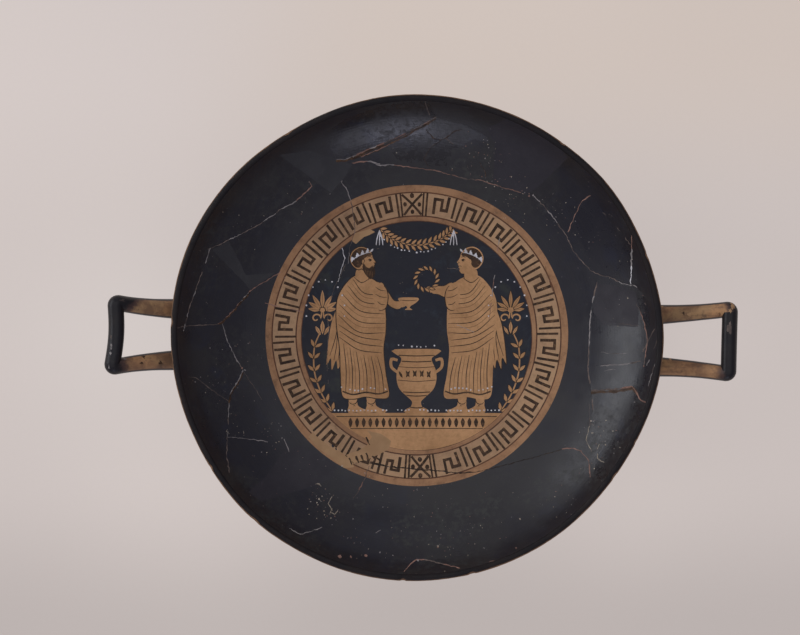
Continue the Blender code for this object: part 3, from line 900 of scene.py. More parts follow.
# ============================================================ surfaces
def build_sheet(name, drawing, r_low, r_high, height, base, spacing, extra_rings=(),
                facing=1, edge_count=720, lift_fn=None):
    """Surface over the plan ring r_low..r_high, split along every outline."""
    points, segments, faces, tags = [], [], [], []

    def add_loop(loop, mat=None, lift=0.0):
        start = len(points)
        points.extend(loop)
        ids = list(range(start, start + len(loop)))
        if mat is None:
            segments.extend(zip(ids, ids[1:] + ids[:1]))
        else:
            faces.append(ids)
            tags.append((mat, lift))

    lo, hi = r_low * 1000, r_high * 1000
    for radius in (hi, lo) if lo > 0 else (hi,):
        add_loop([(radius * math.cos(math.tau * k / edge_count),
                   radius * math.sin(math.tau * k / edge_count)) for k in range(edge_count)])
    count_rings = max(1, int(round((hi - lo) / spacing)))
    grid_rng = np.random.default_rng(3)
    for i in range(1, count_rings):
        radius = lo + (hi - lo) * i / count_rings
        n = max(8, int(math.tau * radius / spacing))
        shift = grid_rng.uniform(0, math.tau)
        for k in range(n):
            a = shift + math.tau * k / n
            points.append((radius * math.cos(a), radius * math.sin(a)))
    if lo <= 0:
        points.append((0.0, 0.0))
    for shape, mat, lift in drawing.shapes:
        add_loop(shape, mat, lift)
    for crease, _ in drawing.creases:
        start = len(points)
        points.extend(crease)
        segments.extend((start + k, start + k + 1) for k in range(len(crease) - 1))

    verts, _, tris, _, _, owners = delaunay_2d_cdt(
        [Vector(p) for p in points], segments, faces, 0, 0.002, True)
    co = np.array([(v[0], v[1]) for v in verts])
    radius = np.hypot(co[:, 0], co[:, 1])
    keep, mats, lifts = [], [], []
    names = [base] + sorted({t[0] for t in tags if t[0] != base})
    index = {n: i for i, n in enumerate(names)}
    for tri, own in zip(tris, owners):
        c = co[list(tri)].mean(0)
        rc = math.hypot(c[0], c[1])
        if rc > hi or rc < lo:
            continue
        keep.append(tri)
        tag = tags[max(own)] if own else (base, 0.0)
        mats.append(index[tag[0]])
        lifts.append(tag[1])
    tri = np.array(keep)
    lift = np.zeros(len(co))
    np.maximum.at(lift, tri.ravel(), np.repeat(np.array(lifts), 3))
    z = height(radius / 1000) * 1000 + facing * lift
    drop = np.zeros(len(co))
    for crease, depth in drawing.creases:
        c = np.array(crease)
        near = np.full(len(co), 9.0)
        lo_box, hi_box = c.min(0) - 0.5, c.max(0) + 0.5
        cand = np.where(((co > lo_box) & (co < hi_box)).all(1))[0]
        for a, b in zip(c[:-1], c[1:]):
            ab = b - a
            t = np.clip(((co[cand] - a) @ ab) / max(ab @ ab, 1e-9), 0, 1)
            dist = np.hypot(*(co[cand] - a - t[:, None] * ab).T)
            near[cand] = np.minimum(near[cand], dist)
        drop = np.maximum(drop, depth * np.clip(1 - near / 0.06, 0, 1))
    z = z - facing * drop
    xyz = out_of_round(np.c_[co[:, 0], co[:, 1] * ROUNDNESS, z] / 1000)
    if lift_fn is not None:
        xyz = lift_fn(xyz)
    if facing < 0:
        tri = tri[:, ::-1]
    used = np.unique(tri)
    remap = np.full(len(co), -1)
    remap[used] = np.arange(len(used))
    return make_mesh(name, xyz[used], remap[tri], names, mats, flat=hi / 1000)


def make_mesh(name, xyz, tri, names, mats, attributes=None, flat=0.0):
    """Object from arrays, with area-weighted normals so slivers don't show.

    flat: radius of a disc that the texture coordinates lie in, seen from above.
    """
    mesh = bpy.data.meshes.new(name)
    mesh.from_pydata(xyz.tolist(), [], [list(map(int, f)) for f in tri])
    for n in names:
        mesh.materials.append(MATERIALS[n])
    mesh.polygons.foreach_set("material_index", np.array(mats, dtype=np.int32))
    mesh.polygons.foreach_set("use_smooth", np.ones(len(tri), dtype=bool))
    for key_name, values in (attributes or {}).items():
        layer = mesh.attributes.new(key_name, "FLOAT", "POINT")
        layer.data.foreach_set("value", np.asarray(values, dtype=np.float32))
    tri = np.asarray(tri)
    if flat:
        layer = mesh.uv_layers.new(name="OFBake")
        uv = 0.5 + xyz[tri.ravel()][:, :2] / (2.02 * flat)
        layer.data.foreach_set("uv", uv.astype(np.float32).ravel())
    mesh.update()
    if tri.shape[1] == 3:
        corners = xyz[tri]
        face_n = np.cross(corners[:, 1] - corners[:, 0], corners[:, 2] - corners[:, 0])
        vert_n = np.zeros_like(xyz)
        for k in range(3):
            np.add.at(vert_n, tri[:, k], face_n)
        vert_n /= np.maximum(np.linalg.norm(vert_n, axis=1)[:, None], 1e-20)
        mesh.normals_split_custom_set_from_vertices(vert_n.tolist())
    obj = bpy.data.objects.new(name, mesh)
    obj.location = (BOWL_X, 0.0, 0.0)
    bpy.context.scene.collection.objects.link(obj)
    return obj


def lathe(name, profile, names, bands, segments=360, attributes=None):
    """Turned surface; bands gives the material name of each profile step."""
    prof = np.array(profile)
    n = len(prof)
    ang = np.arange(segments) * math.tau / segments
    xyz = np.stack([prof[:, None, 0] * np.cos(ang), prof[:, None, 0] * np.sin(ang) * ROUNDNESS,
                    np.repeat(prof[:, None, 1], segments, 1)], -1).reshape(-1, 3)
    tri, mats = [], []
    for i in range(n - 1):
        for k in range(segments):
            a, b = i * segments + k, i * segments + (k + 1) % segments
            c, d = a + segments, b + segments
            tri += [(a, c, b), (b, c, d)]
            mats += [names.index(bands[i])] * 2
    xyz = out_of_round(xyz)
    extra = {key_name: np.repeat(np.asarray(v), segments) for key_name, v in (attributes or {}).items()}
    return make_mesh(name, xyz, np.array(tri), names, mats, extra)


floor_drawing, wall_drawing, outside_drawing = Drawing(), Drawing(), Drawing()
SHEETS = ((floor_drawing, 0.0, FLOOR_EDGE * 1000), (wall_drawing, FLOOR_EDGE * 1000, R_INNER_END * 1000))
hurt = random.Random(21)


# ------------------------------------------------------------ wear and repairs
# Placed in picture steps across the whole view, x right and y down.
def sheets_at(points, margin=4.0):
    radii = [math.hypot(x, y) for x, y in points]
    return [d for d, lo, hi in SHEETS if max(radii) > lo - margin and min(radii) < hi + margin]


def wander(points, step, amount, closed=False):
    """The same line in short uneven steps."""
    ends = points[1:] + points[:1] if closed else points[1:]
    out = [] if closed else [points[0]]
    for a, b in zip(points, ends):
        n = max(1, int(math.dist(a, b) / step))
        dx, dy = b[0] - a[0], b[1] - a[1]
        length = math.hypot(dx, dy) or 1.0
        for k in range(1, n + 1):
            t, off = k / n, hurt.uniform(-amount, amount) if k < n else 0.0
            out.append((a[0] + dx * t - dy / length * off, a[1] + dy * t + dx / length * off))
    return out


def crack(points, width=0.30, material="crack", depth=0.10, gaps=0.18, second=None):
    """A join: a fine groove, with filler or bare clay showing along it."""
    line = wander([plan(*p) for p in points], 1.1, 0.24)
    sheets = sheets_at(line)
    for d in sheets:
        d.creases.append((line, depth))
    k = 0
    while k < len(line) - 1:
        run = hurt.randint(2, 7)
        part = line[k:k + run + 1]
        k += run
        if len(part) < 2 or hurt.random() < 0.55 * gaps:
            continue
        widths = [1.62 * width * hurt.uniform(0.45, 1.45) for _ in part]
        mat = second if second and hurt.random() < 0.4 else material
        for d in sheets:
            d.stroke(part, widths, mat, 0.0, 0.3)


def patch(points, material, rough_edge=0.25, rim_line=None):
    outline = wander([plan(*p) for p in points], 2.2, rough_edge, True)
    for d in sheets_at(outline):
        d.fill(outline, material)
        if rim_line:
            d.stroke(outline + outline[:1], 0.16, rim_line)


def speck(x, y, radius, material="crack_pale"):
    cx, cy = plan(x, y)
    count, start = hurt.randint(5, 8), hurt.uniform(0, math.tau)
    squash, turn = hurt.uniform(0.5, 1.0), hurt.uniform(0, math.pi)
    pts = []
    for k in range(count):
        a = start + math.tau * k / count
        u, v = radius * math.cos(a) * hurt.uniform(0.75, 1.2), radius * squash * math.sin(a) * hurt.uniform(0.75, 1.2)
        pts.append((cx + u * math.cos(turn) - v * math.sin(turn), cy + u * math.sin(turn) + v * math.cos(turn)))
    for d in sheets_at(pts, 1.0):
        d.fill(pts, material)


# sherds whose surface is brighter or duller than the rest
patch([(599, 284), (610, 280), (636, 284), (647, 305), (649, 340), (646, 372), (641, 392), (630, 387), (618, 390),
       (604, 391), (591, 390), (590, 360), (592, 320)], "gloss_sharp", 0.12)
patch([(602, 288), (614, 286), (626, 289), (624, 305), (617, 322), (605, 321), (600, 306)], "gloss_mottled", 0.3)
patch([(591, 391), (604, 390), (618, 389), (631, 386), (640, 400), (648, 403), (641, 438), (622, 470), (602, 480), (591, 478),
       (589, 461), (582, 451), (590, 430), (593, 410)], "gloss_sharp", 0.15)
patch([(610, 277), (600, 275), (582, 261), (567, 236), (574, 217), (590, 196), (603, 212), (616, 228), (630, 245),
       (631, 283)], "gloss_sharp", 0.15)
patch([(353, 156), (383, 143), (414, 129), (436, 117), (430, 104), (410, 102), (380, 106), (346, 118), (322, 134), (336, 158)],
      "gloss_clear", 0.15)
patch([(386, 145), (414, 131), (437, 119), (462, 124), (486, 136), (500, 158), (470, 166), (430, 166), (398, 160)],
      "gloss_clear", 0.15)
patch([(184, 331), (190, 308), (203, 272), (211, 249), (229, 241), (246, 275), (262, 282), (250, 291), (234, 310), (222, 322),
       (205, 325)], "gloss_dull", 0.15)
patch([(243, 370), (240, 378), (231, 392), (229, 402), (227, 436), (229, 473), (216, 458), (200, 424), (190, 392), (184, 352),
       (184, 331), (218, 324), (227, 340)], "gloss_sharp", 0.15)

# fine scratches on the right wall
for points in ([(643, 372), (648, 355), (656, 336)], [(647, 386), (652, 366), (660, 348)], [(654, 331), (657, 344), (656, 357)],
               [(601, 352), (612, 354), (626, 353)], [(604, 371), (613, 369), (622, 371)], [(640, 393), (644, 403), (650, 412)]):
    crack(points, 0.15, "crack_pale", 0.02, 0.6, "crack")

# toned fillings and dull areas, under the painted border
patch([(279, 154), (308, 150), (339, 159), (352, 165), (344, 178), (331, 193), (307, 175), (294, 166)], "filler_grey")
patch([(213, 250), (229, 241), (246, 275), (274, 273), (262, 282), (250, 290), (243, 281), (221, 259)], "filler_grey")
patch([(494, 181), (495, 143), (487, 128), (512, 116), (541, 128), (568, 158), (551, 174), (539, 186), (528, 194),
       (504, 187)], "filler_violet", 0.3)
patch([(283, 451), (300, 446), (318, 453), (338, 466), (331, 478), (314, 486), (290, 493), (262, 501), (249, 492),
       (268, 474)], "filler_violet", 0.3)
patch([(597, 283), (620, 287), (634, 292), (637, 308), (636, 327), (604, 325), (593, 312)], "filler_violet", 0.2)
patch([(452, 148), (476, 139), (493, 144), (492, 180), (470, 176), (446, 171)], "gloss_mottled", 0.8)
patch([(352, 498), (392, 506), (452, 503), (500, 497), (507, 520), (462, 546), (402, 548), (358, 530)], "gloss_mottled", 0.8)
patch([(552, 196), (575, 222), (590, 262), (588, 300), (575, 290), (560, 246), (541, 215)], "gloss_mottled", 0.8)
patch([(560, 450), (588, 430), (602, 440), (575, 486), (540, 508), (520, 500)], "gloss_mottled", 0.8)

draw_border(floor_drawing)
draw_picture(floor_drawing)

# fillings that cut through the border and the picture
patch([(308, 437), (317, 447), (329, 456), (344, 468), (354, 467), (352, 461), (341, 452), (330, 447), (321, 440),
       (313, 432)], "filler_tan", 0.3)
patch([(346, 455), (358, 451), (367, 445), (372, 437), (367, 430), (381, 434), (391, 441), (389, 449), (378, 455),
       (367, 460), (354, 463)], "filler_tan", 0.3)
patch([(352, 241), (355, 233), (370, 229), (375, 232), (364, 237), (356, 244)], "filler_tan", 0.2)
crack([(500, 236), (496, 262), (493, 288), (489, 320)], 0.22, "crack_pale", 0.04, 0.35, "crack_brown")
for run in (((356, 456), (359, 463)), ((361, 455), (364, 462)), ((366, 453), (369, 461)), ((349, 458), (352, 465)),
            ((372, 456), (381, 461)), ((370, 462), (380, 465)), ((366, 437), (370, 445))):
    crack(list(run), 0.62, "dark", 0.0, 0.0)

# joins between sherds
crack([(171, 329), (188, 326), (205, 325), (218, 324)], 0.30, "crack", gaps=0.25)
crack([(218, 324), (222, 322), (234, 310), (250, 291), (256, 287)], 0.36, "crack_brown", 0.12, 0.08, "crack_pale")
crack([(256, 287), (279, 273), (287, 267)], 0.24, "crack_brown", gaps=0.3)
crack([(222, 322), (227, 340), (235, 357), (243, 370)], 0.28, "crack", gaps=0.2, second="crack_pale")
crack([(243, 370), (240, 378), (231, 392), (229, 402)], 0.34, "crack_pale", gaps=0.12, second="crack_brown")
crack([(229, 402), (227, 436), (226, 455), (229, 473)], 0.26, "crack", gaps=0.25, second="crack_pale")
crack([(204, 384), (216, 393), (229, 402)], 0.20, "crack", gaps=0.35)
crack([(226, 437), (240, 438), (256, 440), (268, 442)], 0.20, "crack_pale", gaps=0.45)
crack([(184, 331), (190, 308), (203, 272), (211, 249)], 0.24, "crack_pale", gaps=0.12, second="crack")
crack([(199, 253), (211, 249), (229, 240)], 0.22, "crack", gaps=0.35)
crack([(229, 240), (255, 227), (272, 216), (281, 209)], 0.24, "crack", gaps=0.22, second="crack_pale")
crack([(281, 209), (292, 204), (302, 196), (312, 186), (309, 181)], 0.32, "crack_brown", gaps=0.15, second="crack_pale")
crack([(336, 160), (345, 160), (353, 156)], 0.34, "crack_pale", 0.12, 0.1)
crack([(350, 159), (360, 155), (372, 149), (384, 145)], 0.90, "dark", 0.02, 0.0)
crack([(350, 158), (360, 153), (372, 148), (384, 143)], 0.46, "crack_brown", 0.12, 0.10, "crack_pale")
crack([(384, 143), (400, 136), (414, 129)], 0.26, "crack", 0.10, 0.15, "crack_brown")
crack([(366, 161), (373, 162), (380, 164)], 0.34, "crack_pale", 0.05, 0.1)
crack([(361, 157), (380, 149), (402, 138), (424, 126), (436, 119)], 0.50, "dark", 0.02, 0.1)
crack([(361, 157), (370, 153), (380, 149), (390, 144)], 0.28, "crack_pale", 0.05, 0.5, "crack_brown")
crack([(400, 138), (412, 131), (424, 124), (436, 117)], 0.20, "crack", 0.08, 0.3, "crack_brown")
crack([(336, 161), (345, 161), (353, 157)], 0.60, "dark", 0.02, 0.1)
crack([(591, 393), (604, 392), (618, 391), (632, 388), (637, 395)], 0.85, "dark", 0.02, 0.0)
crack([(229, 403), (231, 394), (240, 380), (243, 372)], 0.50, "dark", 0.02, 0.1)
crack([(219, 324), (222, 323), (234, 311), (250, 292)], 0.50, "dark", 0.02, 0.1)
crack([(341, 181), (347, 190), (351, 201)], 0.26, "crack_pale", gaps=0.05)
crack([(351, 201), (354, 219), (355, 232), (350, 246), (348, 264)], 0.24, "crack", gaps=0.25, second="crack_pale")
crack([(352, 163), (370, 161), (378, 165), (394, 165)], 0.34, "crack_brown", gaps=0.12, second="crack_pale")
crack([(394, 165), (415, 168), (437, 171), (452, 175)], 0.26, "crack_brown", gaps=0.1, second="crack")
crack([(452, 175), (466, 179), (480, 180), (504, 188), (532, 195)], 0.24, "crack", gaps=0.4, second="crack_brown")
crack([(533, 195), (545, 207), (556, 221), (566, 235)], 0.26, "crack", gaps=0.15, second="crack_pale")
crack([(566, 235), (573, 251), (582, 261), (591, 271), (600, 275), (610, 277)], 0.24, "crack", gaps=0.2)
crack([(590, 196), (582, 201), (574, 217), (568, 232)], 0.26, "crack_brown", gaps=0.1, second="crack_pale")
crack([(597, 282), (594, 296), (591, 310), (589, 340), (588, 371), (591, 388), (593, 410)], 0.34, "crack", 0.12, 0.18, "crack_pale")
crack([(600, 366), (612, 365), (624, 364), (639, 361)], 0.30, "crack", gaps=0.15, second="crack_pale")
crack([(591, 391), (604, 390), (618, 389), (631, 386)], 0.52, "crack_brown", 0.16, 0.05, "crack")
crack([(631, 386), (636, 393), (640, 400), (648, 403)], 0.34, "crack_brown", 0.12, 0.1, "crack_pale")
crack([(629, 214), (631, 249)], 0.22, "crack_brown", 0.05, 0.3)
crack([(631, 249), (630.6, 266), (630, 284)], 0.34, "crack_pale", 0.08, 0.05, "white")
crack([(602, 213), (616, 228), (630, 245)], 0.16, "crack", 0.05, 0.35)
crack([(635, 304), (639, 312), (642, 322), (645, 340), (642, 367)], 0.24, "crack", gaps=0.3, second="crack_brown")
crack([(652, 329), (646, 340), (641, 352)], 0.24, "crack", 0.06, 0.3)
crack([(606, 321), (620, 324), (637, 326)], 0.16, "crack", 0.05, 0.3)
crack([(426, 130), (433, 138), (441, 140), (446, 138), (455, 131), (461, 130)], 0.24, "dark", 0.10, 0.15)
crack([(423, 96), (427, 108), (430, 118), (437, 118)], 0.22, "crack", 0.08, 0.3)
crack([(404, 571), (410, 564), (417, 559), (429, 560), (441, 563), (449, 565), (460, 568)], 0.30, "crack", gaps=0.15, second="crack_brown")
crack([(369, 466), (366, 476), (362, 484), (358, 492), (353, 498)], 0.26, "crack", gaps=0.2, second="crack_brown")
crack([(369, 463), (392, 467), (412, 469), (440, 471), (458, 473), (477, 472)], 0.42, "relief", 0.12, 0.05)
crack([(477, 472), (505, 465), (528, 459), (550, 453), (562, 449)], 0.26, "relief", 0.12, 0.1)
crack([(562, 449), (572, 448), (581, 451), (589, 461), (591, 478)], 0.28, "crack_brown", 0.1, 0.15)
crack([(265, 303), (276, 306), (290, 309), (303, 312)], 0.28, "crack_brown", 0.1, 0.1)
crack([(284, 439), (287, 446), (289, 452)], 0.30, "crack_pale", 0.06, 0.0)
crack([(289, 528), (295, 531), (301, 534), (312, 531), (322, 527)], 0.24, "crack_pale", 0.05, 0.1)
crack([(342, 248), (345, 258), (341, 270), (338, 282)], 0.26, "white", 0.04, 0.3)
crack([(331, 300), (334, 288), (340, 276), (346, 264)], 0.18, "crack", 0.04, 0.4)
crack([(327, 306), (329, 330), (327, 358), (328, 384)], 0.16, "crack", 0.03, 0.35)
crack([(447, 268), (459, 269)], 0.2, "crack", 0.03, 0.2)
crack([(601, 168), (612, 176), (622, 192)], 0.14, "crack", 0.03, 0.5)
crack([(457, 325), (474, 332)], 0.24, "crack_pale", 0.04, 0.1)
crack([(466, 424), (470, 432), (472, 438)], 0.2, "dark", 0.03, 0.1)
crack([(545, 266), (549, 280), (553, 291)], 0.22, "brown", 0.04, 0.1)
crack([(370, 537), (376, 533), (381, 530)], 0.22, "crack_pale", 0.04, 0.3)
crack([(446, 138), (455, 145), (466, 148), (478, 160), (485, 172), (487, 184)], 0.16, "dark", 0.07, 0.25, "crack")
crack([(441, 140), (431, 147), (424, 158), (430, 170)], 0.14, "dark", 0.06, 0.3)
crack([(610, 277), (622, 284), (634, 286), (641, 294), (644, 305)], 0.20, "crack", 0.08, 0.2, "crack_pale")
crack([(204, 384), (196, 378), (188, 377)], 0.14, "crack", 0.04, 0.3)
crack([(244, 372), (252, 384), (262, 400)], 0.12, "crack", 0.04, 0.3)
crack([(288, 528), (286, 520), (290, 514)], 0.14, "crack_pale", 0.03, 0.3)
crack([(589, 404), (590, 424), (586, 440), (592, 452)], 0.16, "crack", 0.05, 0.3, "pit_pale")
crack([(480, 563), (500, 560), (518, 552)], 0.12, "crack_brown", 0.03, 0.4)

# single specks, and clusters of them
for x, y, r in ((211, 249, 0.42), (533, 195, 0.62), (630, 285.5, 0.55), (330, 194, 0.42), (342, 181, 0.34), (309, 182, 0.3),
                (556, 217, 0.32), (589, 242, 0.3), (562, 210, 0.26), (592, 433, 0.45), (591, 421, 0.5), (606, 445, 0.55),
                (595, 469, 0.42), (520, 519, 0.5), (438, 546, 0.55), (319, 499, 0.5), (324, 511, 0.42), (331, 518, 0.42),
                (342, 466, 0.5), (318, 484, 0.4), (336, 520, 0.34), (404, 580, 0.5), (282, 438, 0.4), (281, 426, 0.35),
                (245, 370, 0.55), (242, 372, 0.5), (418, 560, 0.6), (393, 555, 0.4), (380, 552, 0.4), (484, 548, 0.45),
                (210, 348, 0.4), (195, 382, 0.35), (634, 402, 0.4), (651, 404, 0.4), (383, 507, 0.3), (353, 519, 0.35)):
    speck(x, y, r)
for x, y, count, spread, size in ((320, 498, 26, 7, 0.30), (330, 514, 18, 6, 0.26), (268, 440, 20, 9, 0.24), (215, 372, 26, 14, 0.20),
                                  (250, 352, 10, 8, 0.24), (410, 505, 46, 30, 0.20), (440, 540, 22, 16, 0.22), (375, 470, 8, 8, 0.3),
                                  (482, 160, 60, 12, 0.24), (512, 190, 22, 10, 0.26), (560, 222, 26, 13, 0.22), (585, 240, 12, 10, 0.22),
                                  (622, 312, 14, 10, 0.24), (608, 452, 22, 16, 0.24), (560, 500, 26, 18, 0.22), (600, 430, 16, 8, 0.24),
                                  (360, 545, 14, 14, 0.22), (300, 290, 12, 16, 0.20), (256, 210, 10, 16, 0.18), (300, 210, 12, 12, 0.20),
                                  (395, 140, 18, 14, 0.22), (505, 215, 22, 10, 0.22), (630, 260, 12, 14, 0.20), (240, 420, 26, 16, 0.18),
                                  (300, 470, 12, 16, 0.18), (530, 270, 8, 18, 0.2), (470, 520, 26, 22, 0.2)):
    for _ in range(count):
        speck(x + hurt.gauss(0, spread), y + hurt.gauss(0, spread), size * hurt.uniform(0.5, 1.3),
              hurt.choice(("crack_pale", "crack", "pit_pale", "crack_brown")))
for cx_, cy_, rx_, ry_, turns in ((318, 490, 10, 5, 0.80), (334, 505, 5, 9, 0.7), (604, 452, 7, 10, 0.6), (236, 430, 9, 5, 0.5)):
    ring = [(cx_ + rx_ * math.cos(t) + hurt.gauss(0, 0.8), cy_ + ry_ * math.sin(t) + hurt.gauss(0, 0.8))
            for t in np.linspace(0.4, math.tau * turns, 14)]
    crack(ring, 0.16, "pit_pale", 0.03, 0.7)
for x, y, r in ((319, 499, 0.5), (324, 511, 0.42), (331, 518, 0.42), (318, 484, 0.34), (342, 466, 0.45), (606, 445, 0.4),
                (595, 469, 0.42), (592, 433, 0.34), (591, 421, 0.4), (520, 519, 0.4), (438, 546, 0.42), (404, 580, 0.5)):
    speck(x, y, r, "pit_pale")
for x, y, r, mat in ((366, 555, 0.9, "crack_brown"), (340, 556, 1.0, "crack_brown"), (351, 556, 0.7, "crack_brown"),
                     (438, 547, 0.5, "crack_brown"), (242, 368, 0.6, "crack_brown"), (516, 548, 0.4, "crack_brown"),
                     (333, 446, 0.9, "gloss_field"), (336, 449, 0.7, "gloss_field"), (452, 170, 0.35, "crack_brown"),
                     (529, 196, 0.5, "crack_brown")):
    speck(x, y, r, mat)

floor_piece = build_sheet("bowl_floor_painted", floor_drawing, 0.0, FLOOR_EDGE, inner_z, "gloss", 1.25)
wall_piece = build_sheet("bowl_wall", wall_drawing, FLOOR_EDGE, R_INNER_END, inner_z, "gloss", 1.4)


# ------------------------------------------------------------ rim and outside
def arc(centre, radii, start, end, count):
    return [(centre[0] + radii[0] * math.cos(math.radians(start + (end - start) * k / count)),
             centre[1] + radii[1] * math.sin(math.radians(start + (end - start) * k / count)))
            for k in range(1, count + 1)]


half = LIP_THICKNESS / 2
lip_c = (R_INNER_END + math.sin(_slope_end) * half, float(_z[-1]) - math.cos(_slope_end) * half)
rim_profile = []
for k in range(0, 17):
    a = math.pi * k / 16
    along, across = math.sin(a) * half, -math.cos(a) * half
    rim_profile.append((lip_c[0] + math.cos(_slope_end) * along + math.sin(_slope_end) * across,
                        lip_c[1] + math.sin(_slope_end) * along - math.cos(_slope_end) * across))
rim_piece = lathe("rim", rim_profile, ["gloss_rim"], ["gloss_rim"] * 16, 1440)

# chips and wear of the rim: (picture x, y, half length in mm, depth in mm)
CHIPS = ((403, 580, 1.6, 0.7), (472, 573, 1.9, 0.8), (171, 322, 2.2, 0.45), (663, 250, 2.0, 0.25), (646, 447, 1.6, 0.3),
         (255, 520, 2.6, 0.35), (209, 468, 1.5, 0.3), (560, 147, 1.4, 0.25), (285, 130, 1.8, 0.2), (620, 480, 2.4, 0.3))
rim_mesh = rim_piece.data
rim_co = np.empty(len(rim_mesh.vertices) * 3)
rim_mesh.vertices.foreach_get("co", rim_co)
rim_co = rim_co.reshape(-1, 3)
rim_angle = np.arctan2(rim_co[:, 1] / ROUNDNESS, rim_co[:, 0])
around = np.repeat(np.arange(17), 1440)
facing_out = np.degrees(math.pi * around / 16 - _slope_end)      # 0 is the top, 90 the outermost line
outer_part = np.clip(1 - np.abs(facing_out - 62) / 62, 0, 1)
for x, y, length, depth in CHIPS:
    cx, cy = plan(x, y)
    gap = np.abs((rim_angle - math.atan2(cy, cx) + math.pi) % math.tau - math.pi) * RIM_RADIUS * 1000
    amount = depth / 1000 * np.clip(1.4 - gap / length * 1.4, 0, 1) * outer_part
    rim_co[:, 0] -= amount * np.cos(rim_angle)
    rim_co[:, 1] -= amount * np.sin(rim_angle)
    rim_co[:, 2] -= amount * 0.5
wave = np.zeros(len(rim_angle))
for k, (turns, size) in enumerate(((3, 0.06), (7, 0.05), (19, 0.03), (43, 0.022), (97, 0.018), (181, 0.014))):
    wave += size / 1000 * np.sin(turns * rim_angle + 1.7 * k * k)
rim_co[:, 0] += (wave - 0.0001) * outer_part * np.cos(rim_angle)
rim_co[:, 1] += (wave - 0.0001) * outer_part * np.sin(rim_angle)
rim_mesh.vertices.foreach_set("co", rim_co.ravel())
more = 0.90 + 0.18 * np.cos(rim_angle + math.radians(60))          # most worn at the front right
patchy = 0.12 * np.sin(5 * rim_angle + 1.0) + 0.10 * np.sin(11 * rim_angle + 2.2)
wear_values = (more + patchy) * 1.2 * np.exp(-((facing_out - 74) / 32.0) ** 2)
for x, y, length, depth in CHIPS:
    cx, cy = plan(x, y)
    gap = np.abs((rim_angle - math.atan2(cy, cx) + math.pi) % math.tau - math.pi) * RIM_RADIUS * 1000
    wear_values += 0.8 * np.exp(-(gap / length) ** 2) * outer_part
layer = rim_mesh.attributes.new("wear", "FLOAT", "POINT")
layer.data.foreach_set("value", wear_values.astype(np.float32))
rim_mesh.update()

# outside of the bowl: black, with a few reserved lines and a palmette under each handle
start = int(np.argmin(abs(_r - WALL_THICKNESS[0][0] * RIM_RADIUS)))
OUT_LOW, OUT_HIGH = float(_ro[start]), float(_ro[-1])


def palmette(d, side):
    """Fan of leaves with a looped stem, its heart towards the foot."""
    def at(u, v):
        return side * (67.0 + u), v
    for k in range(-5, 6):
        a = 0 if side > 0 else 180
        x, y = at(4.5 + 0.2 * abs(k), 0.32 * k)
        length = (17.0 - 0.16 * k * k) if k else 18.5
        outline = smooth(petal(x, y, a + side * k * 17.5, length, 3.0), True, 0.8)
        d.fill(outline, "clay_border")
    heart = [at(3.4 + 2.6 * math.cos(t), 3.2 * math.sin(t)) for t in np.linspace(0, math.tau, 28, endpoint=False)]
    d.fill(heart, "clay_border")
    d.fill([at(3.4 + 1.2 * math.cos(t), 1.6 * math.sin(t)) for t in np.linspace(0, math.tau, 20, endpoint=False)], "gloss")
    loop = [at(10.5 + 15.5 * math.cos(t), 17.5 * math.sin(t)) for t in np.linspace(-2.75, 2.75, 60)]
    d.stroke(smooth(loop, False, 0.8), 0.9, "clay_border", 0.0, 0.3)
    for turn in (-1, 1):
        curl = []
        for t in np.linspace(0, 4.6 * math.pi / 2, 40):
            r = 7.5 * (1 - t / (4.6 * math.pi / 2)) ** 0.8 + 0.8
            curl.append(at(-0.5 + r * math.sin(t) * 0.9, turn * (14.5 + r * math.cos(t) * 0.9)))
        d.stroke(smooth(curl, False, 0.8), 0.85, "clay_border", 0.0, 0.5)


for radius, width in ((57.6, 0.9), (55.2, 2.0), (115.6, 0.8)):
    outside_drawing.disc(radius, "clay_border", count=360)
    outside_drawing.disc(radius - width, "gloss", count=360)
for side in (-1, 1):
    palmette(outside_drawing, side)
for k in range(420):
    a, radius = hurt.uniform(0, math.tau), math.sqrt(hurt.uniform(26 ** 2, 119 ** 2))
    size = 0.22 * hurt.uniform(0.5, 1.6)
    cx, cy = radius * math.cos(a), radius * math.sin(a)
    outside_drawing.fill([(cx + size * math.cos(t) * hurt.uniform(0.7, 1.2), cy + size * math.sin(t) * hurt.uniform(0.7, 1.2))
                          for t in np.linspace(0, math.tau, 6, endpoint=False)],
                         hurt.choice(("crack_pale", "crack", "crack_brown")))
# the joins between sherds run through to the outside
for run in ([(172, 329), (200, 325), (222, 322), (262, 284), (300, 262)], [(211, 249), (272, 216), (312, 186), (331, 193)],
            [(172, 329), (190, 308), (211, 249), (199, 230)], [(345, 98), (383, 145), (424, 123), (436, 96)],
            [(394, 165), (452, 175), (533, 195), (573, 251), (610, 277), (655, 290)], [(566, 234), (604, 188), (640, 178)],
            [(597, 282), (589, 340), (591, 390), (631, 386), (660, 410)], [(243, 370), (229, 402), (227, 440), (229, 500)],
            [(477, 472), (562, 449), (591, 478), (600, 530)], [(369, 466), (362, 484), (350, 560)]):
    line = wander([plan(*p) for p in run], 1.6, 0.2)
    outside_drawing.creases.append((line, 0.10))
    k = 0
    while k < len(line) - 1:
        n = hurt.randint(2, 8)
        part = line[k:k + n + 1]
        k += n
        if len(part) > 1 and hurt.random() > 0.2:
            outside_drawing.stroke(part, [0.3 * hurt.uniform(0.6, 1.5) for _ in part],
                                   hurt.choice(("crack", "crack_brown", "crack")), 0.0, 0.3)
outside_piece = build_sheet("bowl_outside", outside_drawing, OUT_LOW, OUT_HIGH, outer_z, "gloss", 1.6, facing=-1)

r0, z0 = OUT_LOW, float(_zo[start])
profile, bands = [(r0, z0)], []


def add_run(points, material):
    profile.extend(points)
    bands.extend([material] * len(points))


